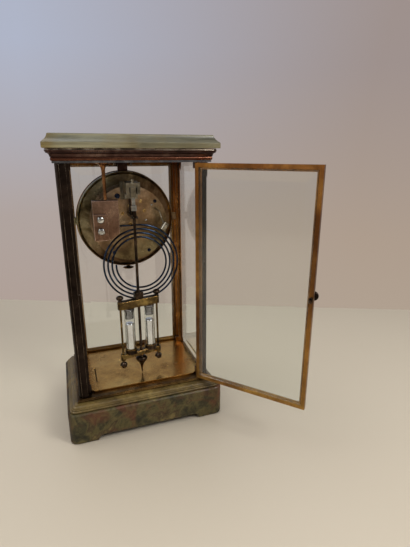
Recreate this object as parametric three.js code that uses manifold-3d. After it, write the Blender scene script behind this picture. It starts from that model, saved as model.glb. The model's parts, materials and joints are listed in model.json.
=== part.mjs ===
// A four-glass clock: a brass-framed glass case on a stone plinth. It holds a round movement in a drum,
// a wound gong on a block, and a pendulum with two vials of mercury. Its rear door stands open.
// Millimetres, +Z up. The dial looks towards -Y and the rear door is on the +Y side.
import * as THREE from 'three';
import { mergeVertices } from 'three/addons/utils/BufferGeometryUtils.js';
import Module from 'manifold-3d';

const wasm = await Module();
wasm.setup();

// Clearances
const SEAT = 0.3;
const RUNNING = 0.3;
const DOOR_SIDE_GAP = 0.4;
const DOOR_END_GAP = 0.6;
const DOOR_STOP_GAP = 0.5;
const MESH_EASE = 0.06;
const FLOOR_CLEARANCE = 1;

// Case
const CASE_WIDTH = 135;
const CASE_DEPTH = 95;
const PLINTH_HEIGHT = 33;
const PLINTH_OVERHANG = 12;
const PLINTH_CORNER = 8;
const FOOT_WIDTH = 27;
const FOOT_CUT_HEIGHT = 6;
const FOOT_CUT_CURVE = 7;
const TIE_BOLT_RADIUS = 2.5;
const TIE_BOLT_HEAD_RADIUS = 8;
const TIE_BOLT_WASHER_RADIUS = 10;
const TIE_BOLT_WASHER = 1.5;
const TIE_BOLT_FOOT = 1.5;
const MOULDING_HEIGHT = 6.3;
const MOULDING_OVERHANG = 9.6;
const MOULDING_SETBACK = 5;
const FRAME_HEIGHT = 3.3;
const FRAME_OVERHANG = 1.9;
const FRAME_LEDGE = 13.5;
const FLOOR_THICKNESS = 1.8;
const FLOOR_SLOT_WIDTH = 1;
const FLOOR_SLOT_LENGTH = 30;
const COLUMN_HEIGHT = 222.7;
const COLUMN_WIDTH = 8.6;
const COLUMN_BEAD = 2;
const COLUMN_LIP = 2.8;
const COLUMN_LIP_DEPTH = 2;
const COLUMN_BLOCK = 5.5;
const GLASS_THICKNESS = 3;
const GLASS_GROOVE_DEPTH = 2.4;
const GLASS_GROOVE_INSET = 2.2;
const BEVEL_WIDTH = 10;
const BEVEL_DEPTH = 0.9;
const CORNICE_HEIGHT = 11.7;
const CORNICE_OVERHANG = 1.7;
const CORNICE_PROJECTION = 4.9;
const SLAB_HEIGHT = 11.5;
const SLAB_OVERHANG = 8.3;
const SLAB_COVE = 5.5;
const SLAB_EDGE = 4.6;

// Doors
const DOOR_THICKNESS = 4;
const DOOR_FLANGE = 1.2;
const DOOR_BAR = 5.75;
const DOOR_REBATE = 2;
const DOOR_PANE_THICKNESS = 2.4;
const HINGE_INSET = 1.4;
const KNUCKLE_RADIUS = 1.4;
const KNUCKLE_LENGTH = 12;
const HINGE_PIN_RADIUS = 0.9;
const HINGE_PIN_LENGTH = 1.6;
const REAR_DOOR_OPEN = 131;
const LATCH_INSET = 2;
const SPINDLE_RADIUS = 1.1;
const KNOB_RADIUS = 4.4;
const KNOB_LENGTH = 7;
const TONGUE_LENGTH = 4.2;
const TONGUE_WIDTH = 2.8;
const TONGUE_THICKNESS = 1.2;

// Drum, dial and plates
const MOVEMENT_DROP = 62;
const DRUM_SIDE_GAP = 7.4;
const DRUM_RADIUS = CASE_WIDTH / 2 - COLUMN_WIDTH - DRUM_SIDE_GAP;
const DRUM_DEPTH = 9.5;
const DRUM_WALL = 1.2;
const DRUM_FLOOR_SETBACK = 3.3;
const DRUM_OPENING_RADIUS = 27;
const STRAP_WIDTH = 10.6;
const STRAP_THICKNESS = 2;
const STRAP_FLANGE_WIDTH = 25;
const STRAP_FLANGE_DEPTH = 7;
const STRAP_FLANGE_THICKNESS = 1.6;
const STRAP_STUD_RADIUS = 1.8;
const LUG_HEIGHT = 8;
const LUG_DEPTH = 1.9;
const DRUM_STUD_LENGTH = 5;
const DRUM_STUD_RADIUS = 6;
const BEZEL_SETBACK = 1.3;
const BEZEL_DEPTH = 1.7;
const BEZEL_OVERLAP = 0.8;
const BEZEL_SIGHT_INSET = 6.3;
const DIAL_SIGHT_RADIUS = DRUM_RADIUS - BEZEL_SIGHT_INSET;
const DIAL_SETBACK = 1.3;
const DIAL_THICKNESS = 1;
const PLATE_RADIUS = 38.5;
const FRONT_PLATE_THICKNESS = 1.6;
const BACK_PLATE_THICKNESS = 1.8;
const PLATE_SPACING = 26.8;
const PILLAR_RADIUS = 2.6;
const PILLAR_CIRCLE_RADIUS = 34.5;
const PILLAR_DIRECTIONS = [40, 140, 238, 302];

// Wheels: numbers of teeth and modules
const ARBOR_RADIUS = 0.6;
const PIVOT_RADIUS = 0.45;
const BARREL_TEETH = 84;
const BARREL_MODULE = 0.4;
const BARREL_RADIUS = 15.6;
const BARREL_LENGTH = 15;
const BARREL_OFFSET_X = 18.2;
const BARREL_DROP = 6;
const GREAT_PINION_LEAVES = 12;
const INTERMEDIATE_TEETH = 60;
const INTERMEDIATE_MODULE = 0.38;
const CENTRE_PINION_LEAVES = 10;
const CENTRE_TEETH = 80;
const CENTRE_MODULE = 0.3;
const FINE_PINION_LEAVES = 7;
const THIRD_TEETH = 70;
const THIRD_MODULE = 0.28;
const ESCAPE_TEETH = 42;
const ESCAPE_RADIUS = 7.5;
const ESCAPE_RISE = 18.6;
const ESCAPE_TOOTH = 1.3;
const ESCAPE_THICKNESS = 0.8;
const ANCHOR_DISTANCE = 10.6;
const PALLET_INSET = 0.2;
const PALLET_HEIGHT = 5.2;
const PIN_WHEEL_TEETH = 60;
const PIN_WHEEL_MODULE = 0.3;
const PIN_WHEEL_DIRECTION = 80;
const LIFTING_PINS = 8;
const LIFTING_PIN_RADIUS = 0.5;
const FLY_DIRECTION = 70;
const FLY_RADIUS = 6.2;
const FLY_LENGTH = 8;
const WHEEL_THICKNESS = 1;
const CANNON_LEAVES = 12;
const MINUTE_WHEEL_TEETH = 36;
const MINUTE_PINION_LEAVES = 10;
const HOUR_WHEEL_TEETH = 40;
const MOTION_MODULE = 0.4;
const MOTION_DIRECTION = 200;
const HOUR_PIPE_RADIUS = 2.3;
const CANNON_PIPE_RADIUS = 1.4;
const MINUTE_HAND_INSET = 5.2;
const MINUTE_HAND_LENGTH = DIAL_SIGHT_RADIUS - MINUTE_HAND_INSET;
const HOUR_HAND_INSET = 17.2;
const HOUR_HAND_LENGTH = DIAL_SIGHT_RADIUS - HOUR_HAND_INSET;
const MINUTE_HAND_WIDTH = 1.8;
const HOUR_HAND_WIDTH = 2.4;
const HAND_THICKNESS = 0.5;
const MINUTE_HAND_ANGLE = 48;
const HOUR_HAND_ANGLE = 304;
const WINDING_SQUARE = 2.6;
const WINDING_HOLE_RADIUS = 2.9;

// Gong
const GONG_BEHIND_PLATE = 16;
const GONG_OFFSET_X = -5.7;
const GONG_OUTER_RADIUS = 40.1;
const GONG_PITCH = 4.1;
const GONG_TURNS = 3.75;
const GONG_WIRE_RADIUS = 0.95;
const GONG_LOOP_STEPS = 24;
const GONG_WIRE_SIDES = 6;
const BLOCK_WIDTH = 24.5;
const BLOCK_HEIGHT = 38;
const BLOCK_DEPTH = 9;
const BLOCK_OFFSET_X = 26;
const BLOCK_WIRE_HEIGHT = 12.4;
const BLOCK_COIL_GAP = 0.9;
const CLAMP_WIDTH = 13.2;
const CLAMP_HEIGHT = 25.2;
const CLAMP_THICKNESS = 2.7;
const CLAMP_SCREW_RISE = 2.5;
const CLAMP_SCREW_SPACING = 11.2;
const CLAMP_SCREW_RADIUS = 1.5;
const CLAMP_SCREW_HEAD_RADIUS = 3.3;
const POST_RADIUS = 1.8;
const POST_LENGTH = 34.6;
const POST_FLARE_RADIUS = 8;
const POST_FLARE_LENGTH = 7.5;
const HAMMER_OFFSET_X = -27;
const HAMMER_RISE = 14;
const HAMMER_ARBOR_RADIUS = 0.9;
const HAMMER_HEAD_RADIUS = 3;
const HAMMER_HEAD_LENGTH = 8;
const HAMMER_GAP = 0.9;
const HAMMER_STRIKE_DIRECTION = 125;

// Pendulum
const PENDULUM_BEHIND_PLATE = 25.5;
const COCK_WIDTH = 13.2;
const COCK_HEIGHT = 18;
const COCK_CHEEK = 2.8;
const COCK_FOOT_THICKNESS = 1.6;
const COCK_WEB_SETBACK = 8.2;
const COCK_WEB_THICKNESS = 1.8;
const COCK_BAR_DEPTH = 6.5;
const COCK_BAR_HEIGHT = 4.5;
const COCK_BAR_RECESS = 1.5;
const SUSPENSION_WIDTH = 3.4;
const SUSPENSION_THICKNESS = 0.5;
const SUSPENSION_LENGTH = 7.5;
const CHOP_HEIGHT = 5;
const CHOP_WIDTH = 5.2;
const CHOP_THICKNESS = 3.2;
const ROD_RADIUS = 1.4;
const CRUTCH_LENGTH = 19;
const CRUTCH_WIDTH = 2.4;
const CRUTCH_THICKNESS = 1.2;
const CRUTCH_SETBACK = 3.2;
const BOB_TWIST = 12;
const BOB_YOKE_DEPTH = 7;
const BOB_YOKE_END = 2.7;
const BOB_TOP_YOKE_HEIGHT = 8;
const BOB_BOTTOM_YOKE_HEIGHT = 5;
const BOB_HEIGHT = 50;
const BOB_TIE_SPACING = 20;
const BOB_TIE_RADIUS = 1.1;
const TIE_FOOT_LENGTH = 11;
const TIE_NUT_HEIGHT = 7;
const TIE_NUT_RADIUS = 3.9;
const TIE_COLLAR_RADIUS = 2.6;
const TIE_COLLAR_HEIGHT = 2;
const TIE_FINIAL_HEIGHT = 6.6;
const TIE_FINIAL_RADIUS = 3.7;
const HOOK_BLOCK_HEIGHT = 7;
const HOOK_BLOCK_WIDTH = 9;
const HOOK_BLOCK_DEPTH = 6;
const HOOK_COLLAR_RADIUS = 3;
const VIAL_INSET = 9;
const VIAL_RADIUS = 5.4;
const VIAL_WALL = 0.7;
const VIAL_FLOOR = 1.4;
const CUP_WALL = 0.7;
const CUP_HEIGHT = 4.5;
const MERCURY_HEIGHT = 32;
const STOPPER_LENGTH = 11;
const STOPPER_RIM = 1.6;
const DROP_FINIAL_LENGTH = 21.5;
const DROP_FINIAL_RADIUS = 6;
const ROD_THREAD_LENGTH = 7;

// Places worked out from the driving dimensions
const caseX = CASE_WIDTH / 2;
const caseY = CASE_DEPTH / 2;
const innerX = caseX - COLUMN_WIDTH;
const innerY = caseY - COLUMN_WIDTH;
const mouldingBase = PLINTH_HEIGHT + SEAT;
const frameBase = mouldingBase + MOULDING_HEIGHT + SEAT;
const frameTop = frameBase + FRAME_HEIGHT;
const columnBase = frameTop + SEAT;
const floorTop = columnBase + FLOOR_THICKNESS;
const columnTop = columnBase + COLUMN_HEIGHT;
const ceiling = columnTop + SEAT;
const corniceTop = ceiling + CORNICE_HEIGHT;
const slabBase = corniceTop + SEAT;
const doorBottom = frameTop + DOOR_END_GAP;
const doorTop = ceiling - DOOR_END_GAP;
const doorInnerFace = caseY - DOOR_THICKNESS;
const lipFace = doorInnerFace - DOOR_STOP_GAP;
const hingeX = innerX - DOOR_SIDE_GAP - HINGE_INSET;
const doorWidth = 2 * (innerX - DOOR_SIDE_GAP);
const doorFree = doorWidth - HINGE_INSET;
const latchX = doorFree - LATCH_INSET;
const latchHeight = (doorBottom + doorTop) / 2;
const tongueFace = -DOOR_THICKNESS - RUNNING;
const movementZ = ceiling - MOVEMENT_DROP;
const bezelFront = -(doorInnerFace - BEZEL_SETBACK);
const bezelBack = bezelFront + BEZEL_DEPTH;
const drumFront = bezelBack + SEAT;
const drumBack = drumFront + DRUM_DEPTH;
const drumFloorBack = drumBack - DRUM_FLOOR_SETBACK;
const drumFloorFront = drumFloorBack - DRUM_WALL;
const dialFront = bezelBack + DIAL_SETBACK;
const dialBack = dialFront + DIAL_THICKNESS;
const frontPlateFront = drumFloorBack + SEAT;
const trainFront = frontPlateFront + FRONT_PLATE_THICKNESS;
const backPlateFront = trainFront + PLATE_SPACING;
const backPlateBack = backPlateFront + BACK_PLATE_THICKNESS;
const gongY = backPlateBack + GONG_BEHIND_PLATE;
const pendulumY = backPlateBack + PENDULUM_BEHIND_PLATE;
const blockTop = ceiling - SEAT - POST_LENGTH - SEAT;
const blockBottom = blockTop - BLOCK_HEIGHT;
const gongTopZ = blockBottom + BLOCK_WIRE_HEIGHT;
const gongZ = gongTopZ - GONG_OUTER_RADIUS;
const anchorRise = ESCAPE_RISE + ANCHOR_DISTANCE;
const anchorZ = movementZ + anchorRise;
const handsFront = bezelFront + 0.2;
const trainArborFront = handsFront + 1.2 - trainFront;
const motionLayer = frontPlateFront - 0.5;
const cockFront = backPlateBack + SEAT;
const cockWebFront = cockFront + COCK_WEB_SETBACK;
const clampX = BLOCK_OFFSET_X + BLOCK_WIDTH / 2 - CLAMP_WIDTH / 2;
const clampFront = gongY + BLOCK_DEPTH / 2 + SEAT;
const screwHeights = [-0.5, 0.5].map((side) => gongTopZ + CLAMP_SCREW_RISE + side * CLAMP_SCREW_SPACING);
const pinCircleRadius = PIN_WHEEL_TEETH * PIN_WHEEL_MODULE / 2 - 2.8;
const strikeTurn = (HAMMER_STRIKE_DIRECTION - 90) / 360;
const gongStrikeRadius = GONG_OUTER_RADIUS - GONG_PITCH * strikeTurn + GONG_WIRE_RADIUS + HAMMER_GAP;
const pendulumTip = floorTop + FLOOR_CLEARANCE;
const yokeBottom = pendulumTip + DROP_FINIAL_LENGTH + SEAT;
const yokeShelf = yokeBottom + BOB_BOTTOM_YOKE_HEIGHT;
const topYokeBase = yokeShelf + BOB_HEIGHT;
const vialOffset = BOB_TIE_SPACING - VIAL_INSET;
const topYokeTop = topYokeBase + BOB_TOP_YOKE_HEIGHT;
const vialTop = topYokeBase - STOPPER_RIM - 2 * SEAT;

// Layers between the plates, counted from the front plate's rear face
const pinWheelLayer = 1.2;
const centreLayer = 3;
const intermediateLayer = 5.6;
const goingGearLayer = 8.4;
const strikeGearLayer = 23.2;
const escapeLayer = 20;
const pinionLength = 2.4;

// Small sums
const radians = THREE.MathUtils.degToRad;
const polar = (radius, degrees) => new THREE.Vector2(
  radius * Math.cos(radians(degrees)),
  radius * Math.sin(radians(degrees)),
);
const v2 = (x, y) => new THREE.Vector2(x, y);

// A closed geometry: shared vertices, no spent triangles, faces pointing out
function closed(geometry) {
  const bare = geometry.clone();
  bare.deleteAttribute('normal');
  bare.deleteAttribute('uv');
  const merged = mergeVertices(bare, 1e-4);
  const place = merged.attributes.position;
  const source = merged.index.array;
  const kept = [];
  const corners = [new THREE.Vector3(), new THREE.Vector3(), new THREE.Vector3()];
  let volume = 0;
  for (let i = 0; i < source.length; i += 3) {
    const ids = [source[i], source[i + 1], source[i + 2]];
    if (new Set(ids).size === 3) {
      kept.push(...ids);
      ids.forEach((id, k) => corners[k].fromBufferAttribute(place, id));
      volume += corners[0].dot(corners[1].clone().cross(corners[2]));
    }
  }
  if (volume < 0) {
    kept.reverse();
  }
  merged.setIndex(kept);
  return merged;
}

// Booleans
function toSolid(geometry) {
  const body = closed(geometry);
  return new wasm.Manifold(new wasm.Mesh({
    numProp: 3,
    vertProperties: new Float32Array(body.attributes.position.array),
    triVerts: new Uint32Array(body.index.array),
  }));
}

function toGeometry(solid) {
  const mesh = solid.getMesh();
  const geometry = new THREE.BufferGeometry();
  geometry.setAttribute('position', new THREE.BufferAttribute(new Float32Array(mesh.vertProperties), 3));
  geometry.setIndex(new THREE.BufferAttribute(new Uint32Array(mesh.triVerts), 1));
  return geometry;
}

const fuse = (first, ...others) => toGeometry(
  others.reduce((solid, other) => solid.add(toSolid(other)), toSolid(first)),
);
const carve = (body, ...tools) => toGeometry(
  tools.reduce((solid, tool) => solid.subtract(toSolid(tool)), toSolid(body)),
);

// Plain forms, each placed where it is used
function box(x0, x1, y0, y1, z0, z1) {
  const geometry = new THREE.BoxGeometry(x1 - x0, y1 - y0, z1 - z0);
  geometry.translate((x0 + x1) / 2, (y0 + y1) / 2, (z0 + z1) / 2);
  return geometry;
}

// An outline drawn in x and z, with its thickness running from y0 to y1
function slabY(shape, y0, y1, curveSegments = 6) {
  const geometry = new THREE.ExtrudeGeometry(shape, { depth: y1 - y0, bevelEnabled: false, curveSegments });
  geometry.rotateX(Math.PI / 2);
  geometry.translate(0, y1, 0);
  return geometry;
}

// An outline drawn in x and y, with its height running from z0 to z1
function slabZ(shape, z0, z1, curveSegments = 6) {
  const geometry = new THREE.ExtrudeGeometry(shape, { depth: z1 - z0, bevelEnabled: false, curveSegments });
  geometry.translate(0, 0, z0);
  return geometry;
}

// An outline drawn in y and z, with its thickness running from x0 to x1
function slabX(shape, x0, x1, curveSegments = 6) {
  const geometry = new THREE.ExtrudeGeometry(shape, { depth: x1 - x0, bevelEnabled: false, curveSegments });
  const turn = new THREE.Matrix4().makeBasis(
    new THREE.Vector3(0, 1, 0),
    new THREE.Vector3(0, 0, 1),
    new THREE.Vector3(1, 0, 0),
  );
  geometry.applyMatrix4(turn);
  geometry.translate(x0, 0, 0);
  return geometry;
}

// Revolved forms: each profile is a list of [radius, distance along the axis]
function turnedY(profile, segments) {
  return new THREE.LatheGeometry(profile.map(([r, y]) => v2(r, y)), segments);
}

function turnedZ(profile, segments) {
  const geometry = turnedY(profile, segments);
  geometry.rotateX(Math.PI / 2);
  return geometry;
}

const rodY = (radius, y0, y1, sides) => turnedY([[0, y0], [radius, y0], [radius, y1], [0, y1]], sides);
const rodZ = (radius, z0, z1, sides) => turnedZ([[0, z0], [radius, z0], [radius, z1], [0, z1]], sides);

function moved(geometry, x, y, z) {
  geometry.translate(x, y, z);
  return geometry;
}

// A rectangle with rounded corners as a ring of points, anticlockwise
function roundedRing(halfX, halfY, radius, steps) {
  const points = [];
  for (let corner = 0; corner < 4; corner += 1) {
    const sideX = corner === 0 || corner === 3 ? 1 : -1;
    const sideY = corner < 2 ? 1 : -1;
    for (let step = 0; step <= steps; step += 1) {
      const angle = (corner + (steps === 0 ? 0 : step / steps)) * 90;
      const reach = polar(radius, angle);
      points.push(v2(sideX * (halfX - radius) + reach.x, sideY * (halfY - radius) + reach.y));
    }
  }
  return points;
}

// A body through a row of rings with the same number of points. It is capped, or its ends meet
function loft(rings, capped) {
  const count = rings[0].length;
  const vertices = rings.flat();
  const index = [];
  const spans = capped ? rings.length - 1 : rings.length;
  for (let ring = 0; ring < spans; ring += 1) {
    const low = ring * count;
    const high = ((ring + 1) % rings.length) * count;
    for (let i = 0; i < count; i += 1) {
      const next = (i + 1) % count;
      index.push(low + i, low + next, high + next);
      index.push(low + i, high + next, high + i);
    }
  }
  if (capped) {
    [0, rings.length - 1].forEach((ring) => {
      const middle = new THREE.Vector3();
      rings[ring].forEach((point) => middle.addScaledVector(point, 1 / count));
      const centre = vertices.push(middle) - 1;
      for (let i = 0; i < count; i += 1) {
        const a = ring * count + i;
        const b = ring * count + ((i + 1) % count);
        index.push(centre, ...(ring === 0 ? [b, a] : [a, b]));
      }
    });
  }
  const geometry = new THREE.BufferGeometry();
  geometry.setFromPoints(vertices);
  geometry.setIndex(index);
  return geometry;
}

// A moulding round a rectangle: the profile is a list of [margin outwards, height]
function moulded(halfX, halfY, corner, steps, profile, capped = true) {
  const rings = profile.map(([margin, z]) => {
    const radius = corner === 0 ? 0 : Math.max(corner + margin, 0.5);
    const ring = roundedRing(halfX + margin, halfY + margin, radius, steps);
    return ring.map((point) => new THREE.Vector3(point.x, point.y, z));
  });
  return loft(rings, capped);
}

function rectangle(x0, x1, y0, y1, path = new THREE.Shape()) {
  path.moveTo(x0, y0);
  path.lineTo(x1, y0);
  path.lineTo(x1, y1);
  path.lineTo(x0, y1);
  path.closePath();
  return path;
}

function circlePoints(x, y, radius, sides) {
  return Array.from({ length: sides }, (_, i) => polar(radius, i * 360 / sides).add(v2(x, y)));
}

const circlePath = (x, y, radius, sides = 12) => new THREE.Path(circlePoints(x, y, radius, sides));

// Finishes
const finish = (color, roughness, metalness, more = {}) => (
  new THREE.MeshStandardMaterial({ color, roughness, metalness, ...more })
);
const onyx = finish('#8f8a66', 0.35, 0);
const mottledStone = finish('#5c5638', 0.4, 0);
const darkBrass = finish('#3d2c23', 0.45, 0.8);
const doorBrass = finish('#8c5b2c', 0.38, 0.9);
const floorBrass = finish('#b08b52', 0.25, 1);
const plateBrass = finish('#a9895a', 0.35, 0.95);
const wheelBrass = finish('#b8934f', 0.3, 1);
const bobBrass = finish('#8f6a30', 0.35, 0.95);
const drumGreen = finish('#4a4a3a', 0.55, 0.7);
const blockCopper = finish('#8a6a55', 0.32, 0.95);
const polishedSteel = finish('#b9b9b6', 0.2, 1);
const darkSteel = finish('#35302c', 0.4, 0.9);
const blueSteel = finish('#26303f', 0.25, 1);
const knobBlack = finish('#17120f', 0.4, 0.6);
const enamel = finish('#efece2', 0.25, 0);
const quicksilver = finish('#d8d8da', 0.05, 1);
const glass = finish('#e8efec', 0.03, 0, { transparent: true, opacity: 0.25 });

const clock = new THREE.Group();

// Adds one named sub-part to a group
function piece(name, geometry, material, parent = clock) {
  const mesh = new THREE.Mesh(closed(geometry), material);
  mesh.geometry.computeVertexNormals();
  mesh.name = name;
  parent.add(mesh);
  return mesh;
}

// Plinth: a round-cornered block with bracket feet left between the cuts in its four sides
function plinth() {
  const halfX = caseX + PLINTH_OVERHANG;
  const halfY = caseY + PLINTH_OVERHANG;
  const edge = 1.2;
  const block = moulded(halfX, halfY, PLINTH_CORNER, 4, [
    [-0.8, 0],
    [0, edge],
    [0, PLINTH_HEIGHT - edge],
    [-edge, PLINTH_HEIGHT],
  ]);
  const cut = (half) => {
    const shape = new THREE.Shape();
    shape.moveTo(-half, -1);
    shape.lineTo(-half, 1);
    shape.quadraticCurveTo(-half + 0.6, FOOT_CUT_HEIGHT, -half + FOOT_CUT_CURVE, FOOT_CUT_HEIGHT);
    shape.lineTo(half - FOOT_CUT_CURVE, FOOT_CUT_HEIGHT);
    shape.quadraticCurveTo(half - 0.6, FOOT_CUT_HEIGHT, half, 1);
    shape.lineTo(half, -1);
    shape.closePath();
    return shape;
  };
  return carve(
    block,
    slabY(cut(halfX - FOOT_WIDTH), -halfY - 1, halfY + 1, 4),
    slabX(cut(halfY - FOOT_WIDTH), -halfX - 1, halfX + 1, 4),
    rodZ(TIE_BOLT_RADIUS + SEAT, 0, PLINTH_HEIGHT + 1, 12),
  );
}

// Bolt that clamps the case to its base, with its head and washer in the hollow under the plinth
function tieBolt() {
  const underPlinth = FOOT_CUT_HEIGHT - SEAT;
  return turnedZ([
    [0, TIE_BOLT_FOOT],
    [TIE_BOLT_HEAD_RADIUS, TIE_BOLT_FOOT],
    [TIE_BOLT_HEAD_RADIUS, underPlinth - TIE_BOLT_WASHER],
    [TIE_BOLT_WASHER_RADIUS, underPlinth - TIE_BOLT_WASHER],
    [TIE_BOLT_WASHER_RADIUS, underPlinth],
    [TIE_BOLT_RADIUS, underPlinth],
    [TIE_BOLT_RADIUS, columnBase - SEAT],
    [0, columnBase - SEAT],
  ], 16);
}

// Stone moulding under the case: a bead, a fillet and a cove that draws in to the frame
function baseMoulding() {
  const rise = MOULDING_HEIGHT;
  const draw = MOULDING_SETBACK;
  const body = moulded(caseX + MOULDING_OVERHANG, caseY + MOULDING_OVERHANG, PLINTH_CORNER - 2, 4, [
    [-draw * 0.18, 0],
    [0, rise * 0.11],
    [0, rise * 0.27],
    [-draw * 0.18, rise * 0.365],
    [-draw * 0.36, rise * 0.365],
    [-draw * 0.42, rise * 0.55],
    [-draw * 0.62, rise * 0.78],
    [-draw, rise * 0.86],
    [-draw, rise],
  ]);
  return carve(body, rodZ(TIE_BOLT_RADIUS + SEAT, -1, rise + 1, 12));
}

// Bottom frame: a moulded ring with blind holes for the lower hinge pins
function bottomFrame() {
  const over = FRAME_OVERHANG;
  const ring = moulded(caseX, caseY, 0, 0, [
    [over, frameBase],
    [over, frameBase + FRAME_HEIGHT * 0.33],
    [over * 0.63, frameBase + FRAME_HEIGHT * 0.48],
    [over * 0.63, frameBase + FRAME_HEIGHT * 0.76],
    [over * 0.9, frameBase + FRAME_HEIGHT * 0.88],
    [over * 0.9, frameTop],
    [-FRAME_LEDGE, frameTop],
    [-FRAME_LEDGE, frameBase],
  ], false);
  return carve(ring, ...hingeHoles(frameTop - HINGE_PIN_LENGTH - SEAT, frameTop + 1));
}

function hingeHoles(z0, z1) {
  return [1, -1].map((side) => moved(
    rodZ(HINGE_PIN_RADIUS + RUNNING, z0, z1, 12),
    -side * hingeX,
    side * caseY,
    0,
  ));
}

// Floor plate with cleared corners and a narrow slot
function floorPlate() {
  const halfX = caseX - GLASS_GROOVE_INSET - GLASS_THICKNESS - 3 * SEAT;
  const halfY = lipFace - COLUMN_LIP_DEPTH + 0.4;
  const cornerX = innerX - COLUMN_LIP - 4.2;
  const cornerY = innerY - 6;
  const shape = new THREE.Shape();
  shape.moveTo(halfX, -cornerY);
  shape.lineTo(halfX, cornerY);
  shape.lineTo(cornerX, halfY);
  shape.lineTo(-cornerX, halfY);
  shape.lineTo(-halfX, cornerY);
  shape.lineTo(-halfX, -cornerY);
  shape.lineTo(-cornerX, -halfY);
  shape.lineTo(cornerX, -halfY);
  shape.closePath();
  const slotX = cornerX - 3;
  const slotY = -4;
  const slotEnd = slotY + FLOOR_SLOT_LENGTH;
  shape.holes.push(rectangle(slotX - FLOOR_SLOT_WIDTH, slotX, slotY, slotEnd, new THREE.Path()));
  return slabZ(shape, columnBase, floorTop);
}

// Column section: u and v run inwards from its outer side face and its outer end face
function columnSection(sideX, sideY) {
  const w = COLUMN_WIDTH;
  const step = 0.6;
  const lipOuter = caseY - lipFace;
  const groove = GLASS_GROOVE_INSET;
  const grooveEnd = groove + GLASS_THICKNESS + 2 * SEAT;
  const points = [v2(0, w), v2(0, COLUMN_BEAD + 2 * step), v2(step, COLUMN_BEAD + 2 * step)];
  for (let k = 0; k <= 4; k += 1) {
    const reach = polar(COLUMN_BEAD, 180 + k * 22.5);
    points.push(v2(step + COLUMN_BEAD + reach.x, step + COLUMN_BEAD + reach.y));
  }
  points.push(
    v2(COLUMN_BEAD + 2 * step, step),
    v2(COLUMN_BEAD + 2 * step, 0),
    v2(w, 0),
    v2(w, lipOuter),
    v2(w + COLUMN_LIP, lipOuter),
    v2(w + COLUMN_LIP, lipOuter + COLUMN_LIP_DEPTH),
    v2(w, lipOuter + COLUMN_LIP_DEPTH + step),
    v2(w, w),
    v2(grooveEnd, w),
    v2(grooveEnd, w - GLASS_GROOVE_DEPTH),
    v2(groove, w - GLASS_GROOVE_DEPTH),
    v2(groove, w),
  );
  return new THREE.Shape(points.map((point) => v2(sideX * (caseX - point.x), sideY * (caseY - point.y))));
}

// Column: the moulded section, a screw block at each end, and a latch slot where a door closes on it
function column(sideX, sideY, latched) {
  const place = (u0, u1, v0, v1, z0, z1) => box(
    Math.min(sideX * u0, sideX * u1),
    Math.max(sideX * u0, sideX * u1),
    Math.min(sideY * v0, sideY * v1),
    Math.max(sideY * v0, sideY * v1),
    z0,
    z1,
  );
  const blockX = [innerX - 4, innerX + 0.5];
  const blockY = [innerY - 1.5, lipFace - 0.2];
  const footBase = floorTop + SEAT;
  const body = fuse(
    slabZ(columnSection(sideX, sideY), columnBase, columnTop),
    place(...blockX, ...blockY, footBase, footBase + COLUMN_BLOCK),
    place(...blockX, ...blockY, columnTop - COLUMN_BLOCK, columnTop),
  );
  if (!latched) {
    return body;
  }
  const tongueDeep = doorInnerFace - RUNNING - TONGUE_THICKNESS - RUNNING;
  const reach = innerX - DOOR_SIDE_GAP - LATCH_INSET + TONGUE_LENGTH + 2 * RUNNING;
  const swing = TONGUE_LENGTH + 1.6;
  const slotBottom = latchHeight - swing;
  const slotTop = latchHeight + TONGUE_WIDTH / 2 + 2 * RUNNING;
  return carve(
    body,
    place(innerX - COLUMN_LIP - 1, innerX, tongueDeep, lipFace + 1, slotBottom, latchHeight + swing),
    place(innerX - COLUMN_LIP - 1, reach, tongueDeep, doorInnerFace + 0.2, slotBottom, slotTop),
  );
}

// Bevelled pane drawn in two directions, with its flat back at w = 0
function pane(u0, u1, v0, v1, thickness) {
  const inset = Math.min(BEVEL_WIDTH, (u1 - u0) / 3);
  const ring = (margin, w) => [
    new THREE.Vector3(u0 + margin, v0 + margin, w),
    new THREE.Vector3(u1 - margin, v0 + margin, w),
    new THREE.Vector3(u1 - margin, v1 - margin, w),
    new THREE.Vector3(u0 + margin, v1 - margin, w),
  ];
  return loft([ring(0, 0), ring(0, thickness - BEVEL_DEPTH), ring(inset, thickness)], true);
}

// Side pane: it stands in the grooves of two columns with its bevel outwards
function sidePane(side) {
  const half = innerY + GLASS_GROOVE_DEPTH - SEAT;
  const geometry = pane(-half, half, columnBase, ceiling - SEAT, GLASS_THICKNESS);
  const back = caseX - GLASS_GROOVE_INSET - GLASS_THICKNESS - SEAT;
  geometry.applyMatrix4(new THREE.Matrix4().makeBasis(
    new THREE.Vector3(0, side, 0),
    new THREE.Vector3(0, 0, 1),
    new THREE.Vector3(side, 0, 0),
  ));
  return moved(geometry, side * back, 0, 0);
}

// Cornice: fillet, cove and beads stepping out to carry the top slab
function cornice() {
  const out = CORNICE_PROJECTION;
  const h = CORNICE_HEIGHT;
  const body = moulded(caseX + CORNICE_OVERHANG, caseY + CORNICE_OVERHANG, 0, 0, [
    [0, ceiling],
    [0, ceiling + h * 0.15],
    [0.9, ceiling + h * 0.17],
    [0.9, ceiling + h * 0.42],
    [1.5, ceiling + h * 0.46],
    [1.8, ceiling + h * 0.52],
    [2.8, ceiling + h * 0.62],
    [out - 0.7, ceiling + h * 0.7],
    [out - 0.7, ceiling + h * 0.76],
    [out, ceiling + h * 0.8],
    [out, ceiling + h * 0.95],
    [out - 0.5, corniceTop],
  ]);
  return carve(body, ...hingeHoles(ceiling - 1, ceiling + HINGE_PIN_LENGTH + SEAT));
}

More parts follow.
